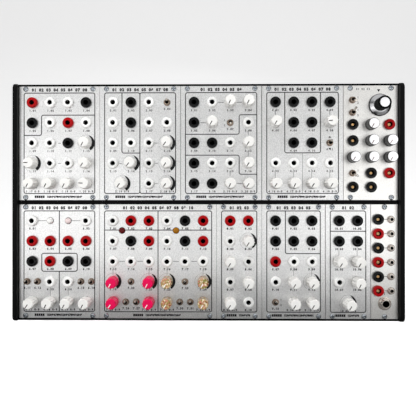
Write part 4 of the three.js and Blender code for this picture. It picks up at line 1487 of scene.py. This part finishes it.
# %% Short links between controls
LINKS = {
    "upper_1": [dash(1.5, 2), dash(1.5, 3)],
    "upper_2": [dash(2.42, 2), dash(2.42, 3), dash(2.42, 4), dash(0.42, 3)],
    "upper_3": [link(1, 0), link(2, 0), link(0, 1), link(2, 4), drop(3, 1), drop(3, 2), drop(2, 3)],
    "upper_4": [drop(0, 0), drop(3, 0)],
    "lower_1": [[(0.3, 0), (0.8, 0)], [(2.2, 0), (2.7, 0)]],
    "lower_2": [link(0, 2), link(1, 2), link(3, 2), link(4, 2)],
    "lower_6": [*([(0.0, c["row"]), (0.2, c["row"])] for c in every("M")), [(0, 3.48), (0, 3.64)]],
}
PALE_LINKS = {
    "lower_1": drops((1, 2), 3),
    "upper_4": [[(1.5, 2.49), (1.5, FOOT)], *drops(range(4), 3)],
    "lower_2": drops((0, 2, 3, 5), 2),
    "lower_4": drops((1, 2), 2),
    "lower_5": drops((0, 1), 1),
}
print(sum(len(lines) for lines in (*LINKS.values(), *PALE_LINKS.values())), "links")


# %% Print the lines
def grid_point(name, column, row, height):
    """A point of the frame at a column and row of one module."""
    x, z, _, _ = centre_of(f"{name}_panel")
    return at(x + across(MODULES[name], column), z + upwards(row), height)


def printed_lines(title, name, lines, width, finish_name):
    """One flat mesh for some lines of one module. A closed line comes back to its first corner."""
    vertices, edges = [], []
    for line in lines:
        start = len(vertices)
        closed = line[0] == line[-1]
        own = line[:-1] if closed else line
        vertices += [grid_point(name, column, row, PRINT_THICKNESS / 4) for column, row in own]
        edges += [(start + i, start + i + 1) for i in range(len(own) - 1)]
        if closed:
            edges.append((len(vertices) - 1, start))
    path = bpy.data.meshes.new(title)
    path.from_pydata(vertices, edges, [])
    thing = grown(
        title, path, PRINT, width=width * MM, thickness=PRINT_THICKNESS * MM, corner=PRINT_CORNER * MM,
        finish=finishes[finish_name],
    )
    placed(thing)
    print(title, len(thing.data.polygons), "faces")


PRINTS = [
    (LINES, "lines", LINE_WIDTH, "line_ink"), (LINKS, "links", LINK_WIDTH, "grey_ink"),
    (PALE_LINKS, "pale_links", LINK_WIDTH, "pale_ink"),
]
for table, word, width, finish_name in PRINTS:
    for name, lines in table.items():
        printed_lines(f"{name}_{word}", name, lines, width, finish_name)

# %% [markdown]
# ## Crescents and marks
#
# Round some knobs a crescent is printed that grows thicker the further the knob is turned up.
# Its outer edge is a circle, and its inner edge is the same circle pulled in step by step. A
# thin ring closes it on the left.


# %% Flat prints
PRINT_SINK = 0.02
PRINT_RISE = 0.05


def flat_print(name, outline_pairs, closed=False):
    """A thin flat mesh between two rows of (x, z) points, in millimetres round the origin."""
    return banded(name, [
        (x * MM, -height * MM, z * MM)
        for pair in outline_pairs for x, z in pair for height in (-PRINT_SINK, PRINT_RISE)
    ], closed)


def polar(radius, degrees):
    """A point round a knob, with degrees counted clockwise from straight up."""
    angle = math.radians(degrees)
    return radius * math.sin(angle), radius * math.cos(angle)


# %% Crescents
CRESCENT_RADIUS = 9.5
CRESCENT_THIN = 0.25
CRESCENT_THICK = 4.3
CRESCENT_START = 20
CRESCENT_END = 150
CRESCENT_STEP = 6
RING_WIDTH = 0.18


def crescent_width(degrees):
    """Nearly nothing up to one o'clock, then growing to the full width."""
    share = max(0.0, (degrees - CRESCENT_START) / (CRESCENT_END - CRESCENT_START))
    return CRESCENT_THIN + (CRESCENT_THICK - CRESCENT_THIN) * share ** 0.5


crescent = flat_print("crescent", [
    (polar(CRESCENT_RADIUS, d), polar(CRESCENT_RADIUS - crescent_width(d), d))
    for d in range(18, CRESCENT_END + 1, CRESCENT_STEP)
])
thin_ring = flat_print("thin_ring", [
    (polar(CRESCENT_RADIUS, d), polar(CRESCENT_RADIUS - RING_WIDTH, d))
    for d in range(-CRESCENT_END, 25, CRESCENT_STEP)
])
scaled = every("Cc")
copied("crescents", crescent, spots(scaled), "black_ink")
copied("thin_rings", thin_ring, spots(scaled), "grey_ink")

# %% Small triangles
DIAL_MARK = (-1.2, 16.4)
LEVER_MARK = 6.6


def triangle(name, half, height):
    """A triangle that points down."""
    top = height * 0.4
    left, right = [(side * half, top) for side in (-1, 1)]
    return flat_print(name, [(left, left), ((0, top), (0, top - height)), (right, right)])


dial_mark = (dial_control["x"] + DIAL_MARK[0], dial_control["z"] + DIAL_MARK[1])
lever_4 = of_module("upper_4", "T")[0]
marks = [(lever_4["x"], lever_4["z"] + rise) for rise in (-LEVER_MARK, LEVER_MARK)]
copied("dial_triangle", triangle("dial_triangle", 1.9, 3.0), [dial_mark], "black_ink")
copied("triangles", triangle("triangle", 1.4, 2.3), marks, "black_ink", [0.0, math.pi])

# %% [markdown]
# ## Numbers
#
# Nearly every control has a plain number printed under it: the module's own number, a point, and
# the control's. The two warm grey modules are bare, but some levers have a 1 and a 2 beside them.
# The top of a module carries a row of counting numbers, and its foot a scale bar.
# The glyphs are drawn once with Blender's own font, thickened a little and turned into thin
# meshes, and then copied onto points, one glyph after the other: all the zeros of a sort of text
# are one piece, all its ones another, and so on.

# %% Glyphs
DIGIT_SHARE = 0.7
GLYPH_RISE = 0.03
TITLE_ADVANCE = 2.75
FOOT_ADVANCE = 1.6
# The height of a text, the way from glyph to glyph, how far a stroke is thickened, and the ink
TEXTS = {
    "upper_label": (2.2, 2.0, 0.13, "label_ink"), "lower_label": (2.2, 2.0, 0.19, "label_ink"),
    "setting": (2.2, 2.0, 0.1, "grey_ink"), "title": (3.1, TITLE_ADVANCE, 0.34, "black_ink"),
    "faint_title": (2.2, 2.0, 0.08, "grey_ink"), "foot": (2.0, FOOT_ADVANCE, 0.26, "black_ink"),
}
GLYPH_NAMES = {".": "point", "-": "dash"}


def glyph_mesh(glyph, height, weight):
    """One glyph as a thin raised mesh, centred on the origin and facing the viewer."""
    curve = bpy.data.curves.new(f"glyph_{glyph}", "FONT")
    curve.body = glyph
    curve.size = height / DIGIT_SHARE * MM
    curve.offset = weight * MM
    curve.resolution_u = 2
    curve.extrude = GLYPH_RISE * MM
    curve.align_x = "CENTER"
    mesh = settle_curve(linked(f"glyph_{glyph}", curve))
    mesh.transform(UPRIGHT @ Matrix.Translation((0, -height / 2 * MM, 0)))
    return mesh


def glyph_places(text, x, z, advance):
    """Each glyph of a text with its own place, the text centred on x."""
    start = x - (len(text) - 1) / 2 * advance
    return [(glyph, (start + index * advance, z)) for index, glyph in enumerate(text) if glyph != " "]


def print_text(name, texts):
    """Prints (text, x, z) texts of one sort as sets of copies, one set for each glyph."""
    height, advance, weight, ink = TEXTS[name]
    places = [place for text, x, z in texts for place in glyph_places(text, x, z, advance)]
    for glyph in sorted({value for value, _ in places}):
        own = [spot for value, spot in places if value == glyph]
        title = f"{name}_{GLYPH_NAMES.get(glyph, glyph)}"
        copied(title, glyph_mesh(glyph, height, weight), own, ink)


# %% Control numbers
LABEL_DROP = 8.8
TOGGLE_LABEL_DROP = 7.2
LOWEST_ROWS = 3.5
labels = []
for number, name in enumerate(MODULES, 1):
    own = [c for c in of_module(name) if c["kind"] != "L" and not has_brass(c)]
    for count, control in enumerate(own, 1):
        scale = " 0-9" if control["kind"] in "KkCc" and control["row"] > LOWEST_ROWS else ""
        below = TOGGLE_LABEL_DROP if control["kind"] in "TV" else LABEL_DROP
        labels.append((f"{number}.{count:02d}{scale}", control["x"], control["z"] - below))
rows_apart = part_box("centre_rail")[0].z / MM
print_text("upper_label", [label for label in labels if label[2] > rows_apart])
print_text("lower_label", [label for label in labels if label[2] < rows_apart])

# %% Numbers beside the levers
SETTING_ASIDE = 6.2
SETTING_RISE = 2.9
SETTING_SIDES = {"upper_3": -1, "upper_5": 1, "lower_4": 1}
settings = [
    (digit, c["x"] + SETTING_SIDES[c["module"]] * SETTING_ASIDE, c["z"] + rise)
    for c in toggles if c["module"] in SETTING_SIDES
    for digit, rise in (("1", SETTING_RISE), ("2", -SETTING_RISE))
]
print_text("setting", settings)

# %% Counting numbers along the top and scale bars along the foot
TITLE_DROP = 3.9
TITLE_SHARES = [0.66, 0.72, 0.48, 0.66, 0, 0.72, 0.6, 0.44, 0.54, 0.34, 0]
FAINT_ASIDE = 8.5
FOOT_RISE = 3.7
FOOT_SPAN = 54.0
FOOT_MARGIN = 24.0
BLOCK_WIDTH = 2.0
BLOCK_HEIGHT = 2.8
BLOCK_PITCH = 2.3
BLOCK_COUNT = 5
blocks, feet, titles, faint_titles = [], [], [], []
for name, title_share in zip(MODULES, TITLE_SHARES):
    x, z, width, height = centre_of(f"{name}_panel")
    head = z + height / 2 - TITLE_DROP
    if name == "upper_5":
        faint_titles.append(("01 02 03", x - FAINT_ASIDE, head))
    if not title_share:
        continue
    count = round((width * title_share / TITLE_ADVANCE + 1) / 3)
    titles.append((" ".join(f"{number:02d}" for number in range(1, count + 1)), x, head))
    low = z - height / 2 + FOOT_RISE
    span = min(FOOT_SPAN, width - FOOT_MARGIN)
    blocks += [(x - span / 2 + step * BLOCK_PITCH, low) for step in range(BLOCK_COUNT)]
    rest = span - BLOCK_COUNT * BLOCK_PITCH
    foot = "".join(str(number % 10) for number in range(1, int(rest / FOOT_ADVANCE)))
    feet.append((foot, x - span / 2 + BLOCK_COUNT * BLOCK_PITCH + rest / 2, low))
block = flat_print("block", [
    tuple((side * BLOCK_WIDTH / 2, rise * BLOCK_HEIGHT / 2) for rise in (1, -1)) for side in (-1, 1)
])
copied("scale_blocks", block, blocks, "black_ink")
print_text("title", titles)
print_text("faint_title", faint_titles)
print_text("foot", feet)

# %% [markdown]
# ## Circuit boards
#
# Behind each plate hangs a circuit board on posts, with a header for the supply cable. Nobody
# sees them while the case is closed, so they are kept simple: a board, two posts and the header,
# all with eased edges.

# %% Boards behind the plates
BOARD_FRONT = 14.0
BOARD_THICKNESS = 1.6
BOARD_INSET = 3
BOARD_REACH = 50
POST_INSET = 5
POST_HALF = 2.5
POST_TOP = -2
HEADER_HALVES = (11, 4.5)
HEADER_DEPTH = 9
BLOCK_EASE = 0.3


def eased_block(x, z, half_width, half_height, back, front):
    """A box with eased edges round a place, between two heights over the panels."""
    work = bmesh.new()
    bmesh.ops.create_cube(work, size=2)
    for vertex in work.verts:
        right, outward, up = vertex.co
        middle = (back + front) / 2
        vertex.co = at(x + half_width * right, z + half_height * up, middle + (front - middle) * outward)
    bmesh.ops.recalc_face_normals(work, faces=work.faces)
    edges = list(work.edges)
    bmesh.ops.bevel(work, geom=edges, offset=BLOCK_EASE * MM, segments=2, affect="EDGES", profile=0.5)
    mesh = bpy.data.meshes.new("block")
    work.to_mesh(mesh)
    work.free()
    return mesh


board_back = -BOARD_FRONT - BOARD_THICKNESS
for name in MODULES:
    x, z, width, _ = centre_of(f"{name}_panel")
    half = width / 2 - BOARD_INSET
    parts = [(eased_block(x, z, half, BOARD_REACH, board_back, -BOARD_FRONT), "solder_mask")]
    for side in (-1, 1):
        post = (x + side * (half - POST_INSET), z - side * (BOARD_REACH - POST_INSET))
        parts.append((eased_block(*post, POST_HALF, POST_HALF, -BOARD_FRONT, POST_TOP), "nickel"))
    header = eased_block(x, z, *HEADER_HALVES, board_back - HEADER_DEPTH, board_back)
    parts.append((header, "black_plastic"))
    placed(assembled(f"{name}_board", parts))
print(len(MODULES), "boards of", len(parts), "blocks each")

# %% [markdown]
# ## The case
#
# Two cheeks of black powder-coated metal hold the rails. The CAD cheeks have a plain chamfer,
# so they are replaced by plates with rounded corners and a soft edge, which draws the thin line
# of light along their fronts. Rails, rear shell and supply boards keep their CAD shape and only
# get their finish.

# %% Cheeks
CHEEK_CORNER = 6.0
CHEEK_EDGE = 1.0
CORNER_STEPS = 8


def cheek(node):
    """A cheek drawn as a rounded outline, thickened and bevelled."""
    low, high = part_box(node)
    radius = CHEEK_CORNER * MM
    back, front, foot, top = low.y + radius, high.y - radius, low.z + radius, high.z - radius
    outline = []
    for index, (y, z) in enumerate([(back, foot), (front, foot), (front, top), (back, top)]):
        for step in range(CORNER_STEPS + 1):
            angle = math.pi + (index + step / CORNER_STEPS) * math.pi / 2
            outline.append((y + radius * math.cos(angle), z + radius * math.sin(angle)))
    count = len(outline)
    vertices = [(x, y, z) for x in (low.x, high.x) for y, z in outline]
    faces = [list(range(count)), list(range(count, 2 * count))]
    faces += [[i, (i + 1) % count, count + (i + 1) % count, count + i] for i in range(count)]
    thing = assembled(f"{node}_plate", [(as_mesh(node, vertices, faces), "powder_black")])
    return placed(softened(thing, CHEEK_EDGE, 4), stands_for=[node])


for node in ("left_cheek", "right_cheek"):
    made = cheek(node)
    print(made.name, len(made.data.polygons), "faces")

# %% Finishes of the pieces that keep their CAD shape
CARRIED = {
    "top_rail": "anodised_black", "centre_rail": "anodised_black", "bottom_rail": "anodised_black",
    "rear_shell": "case_paint", "upper_supply_board": "solder_mask", "lower_supply_board": "solder_mask",
    "power_inlet": "black_plastic", "switch_housing": "black_plastic", "power_rocker": "black_plastic",
}
for node, finish_name in CARRIED.items():
    thing = frame["nodes"][node]
    if not thing.data.materials:
        thing.data.materials.append(finishes[finish_name])
    for slot in thing.material_slots:
        slot.material = finishes[finish_name]
print(len(CARRIED), "pieces keep their CAD shape")

# %% [markdown]
# Two details make the rear readable. The faces of the rocker carry a line and a circle, and
# they ride on it, so they tip with it. The power inlet has a metal sleeve and pin in its bore.
# Both are made facing the viewer, as everything on the panels is, and then turned to the rear.

# %% Marks on the rocker
ROCKER_LEAN = math.radians(9)
ROCKER_FACE = 2.51
MARK_RISE = 3.5
LINE_HALVES = (0.35, 1.5)
RING_RADII = (1.6, 1.1)
to_the_rear = Matrix.Rotation(math.pi, 4, "Z")


def on_rocker(side):
    """A place on the rocker's upper (1) or lower (-1) face, in its position of rest."""
    pivot = Matrix.Translation(joints["power_rocker"]["pos_m"])
    face = Matrix.Translation((0, ROCKER_FACE * MM, side * MARK_RISE * MM))
    rest = Matrix.Rotation(ROCKER_LEAN, 4, "X")
    return pivot @ rest @ face @ Matrix.Rotation(-side * ROCKER_LEAN, 4, "X") @ to_the_rear


half_width, half_height = LINE_HALVES
line_mark = flat_print("line_mark", [
    ((x, half_height), (x, -half_height)) for x in (-half_width, half_width)
])
ring_mark = flat_print("ring_mark", [
    tuple(polar(radius, degrees) for radius in RING_RADII) for degrees in range(0, 360, 15)
], closed=True)
for name, mesh, side in (("line", line_mark, 1), ("circle", ring_mark, -1)):
    thing = assembled(f"rocker_{name}", [(mesh, "white_ink")], on_rocker(side))
    placed(thing, "power_rocker")
    print(thing.name, len(thing.data.polygons), "faces")

# %% Metal in the inlet
INLET_FLANGE = 2.0
SLEEVE_BORE = 2.7
SLEEVE_RADIUS = 3.06
SLEEVE_TOP = 1.9
PIN_RADIUS = 1.12
low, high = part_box("power_inlet")
inlet_seat = Vector(((low.x + high.x) / 2, high.y - INLET_FLANGE * MM, (low.z + high.z) / 2))
sleeve = turned("sleeve", [
    (SLEEVE_BORE, -4), (SLEEVE_RADIUS, -4), (SLEEVE_RADIUS, SLEEVE_TOP, 0.15),
    (SLEEVE_BORE, SLEEVE_TOP, 0.15), (SLEEVE_BORE, -4),
])
inlet_pin = turned("inlet_pin", [(0, -6), (PIN_RADIUS, -6), (PIN_RADIUS, 0.75, 0.4), (0, 0.8)])
inlet_parts = [(sleeve, "nickel"), (inlet_pin, "nickel")]
inlet_metal = assembled("inlet_metal", inlet_parts, Matrix.Translation(inlet_seat) @ to_the_rear)
placed(inlet_metal)
print(inlet_metal.name, len(inlet_metal.data.polygons), "faces")

# %% [markdown]
# ## Floor
#
# A white sheet runs under the case and up behind it in one curve, so the picture has no
# horizon. It is stage, not part of the object. A sheet that is lit to pure white would also
# whiten everything near it, so only what looks straight at it sees it white: to the light that
# bounces between the pieces it is dark near the case, and to what mirrors it, it is brighter
# further in front, which is what makes the panels darker towards the foot.

# %% Paper
FAR_FLOOR = (-0.7, -0.24)
SIDE_FLOOR = (0.5, 0.9)
FLOOR_LIGHT = 2.05
SIDE_LEVEL = 0.3
PAPER_GLOW = 0.6
PAPER_GREY = 0.29


def paper():
    """White paper for whoever looks at it, and for bounced light grey near the case and bright before it."""
    material = finish("paper", (0.9, 0.9, 0.9), 0.9, grain=0.01, clouds=0.01, scale=40, bump=0.02)
    tree = material.node_tree
    white = tree.nodes["Principled BSDF"]
    white.inputs["Emission Color"].default_value = (1, 1, 1, 1)
    white.inputs["Emission Strength"].default_value = PAPER_GLOW
    grey = add(tree, "ShaderNodeBsdfDiffuse", {"Color": (PAPER_GREY, PAPER_GREY, PAPER_GREY, 1)})
    place = add(tree, "ShaderNodeSeparateXYZ", {0: add(tree, "ShaderNodeTexCoord").outputs["Object"]})
    rays = add(tree, "ShaderNodeLightPath").outputs
    far_light = mapped(tree, place.outputs["Y"], *FAR_FLOOR, FLOOR_LIGHT, 0.0)
    aside = calculated(tree, "ABSOLUTE", place.outputs["X"])
    ahead = mapped(tree, aside, *SIDE_FLOOR, 1.0, SIDE_LEVEL)
    strength = multiplied(tree, far_light, ahead, rays["Is Glossy Ray"])
    bright = add(tree, "ShaderNodeEmission", {"Strength": strength})
    bounced = add(tree, "ShaderNodeAddShader", {0: grey.outputs[0], 1: bright.outputs[0]})
    sides = {0: rays["Is Camera Ray"], 1: bounced.outputs[0], 2: white.outputs[0]}
    seen = add(tree, "ShaderNodeMixShader", sides)
    tree.links.new(seen.outputs[0], tree.nodes["Material Output"].inputs["Surface"])
    return material


# %% The sweep
SWEEP_HALF = 4
SWEEP_NEAR = -3.0
BEND_START = 1.2
BEND_RADIUS = 0.8
BEND_STEPS = 8
SWEEP_TOP = 3.5
sweep_points = [(SWEEP_NEAR, 0.0), (BEND_START, 0.0)]
for step in range(1, BEND_STEPS + 1):
    angle = step * math.pi / 2 / BEND_STEPS
    bend = (BEND_START + BEND_RADIUS * math.sin(angle), BEND_RADIUS - BEND_RADIUS * math.cos(angle))
    sweep_points.append(bend)
sweep_points.append((BEND_START + BEND_RADIUS, SWEEP_TOP))
vertices = [(x, y, z) for y, z in sweep_points for x in (-SWEEP_HALF, SWEEP_HALF)]
faces = [[2 * i, 2 * i + 1, 2 * i + 3, 2 * i + 2] for i in range(len(sweep_points) - 1)]
sweep_mesh = bpy.data.meshes.new("sweep")
sweep_mesh.from_pydata(vertices, [], faces)
sweep_mesh.polygons.foreach_set("use_smooth", [True] * len(faces))
sweep_mesh.materials.append(paper())
linked("sweep", sweep_mesh)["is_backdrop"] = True
print("sweep,", len(faces), "faces")

# %% [markdown]
# ## Sizes
#
# The dressed model has to keep the CAD model's box, so the differences between the two boxes are printed.

# %% Print how far the two boxes differ, and finish
seen_low, seen_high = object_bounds()
apart = [round((b - a) / MM, 2) for a, b in zip((*cad_low, *cad_high), (*seen_low, *seen_high))]
print("box differences, mm:", apart)
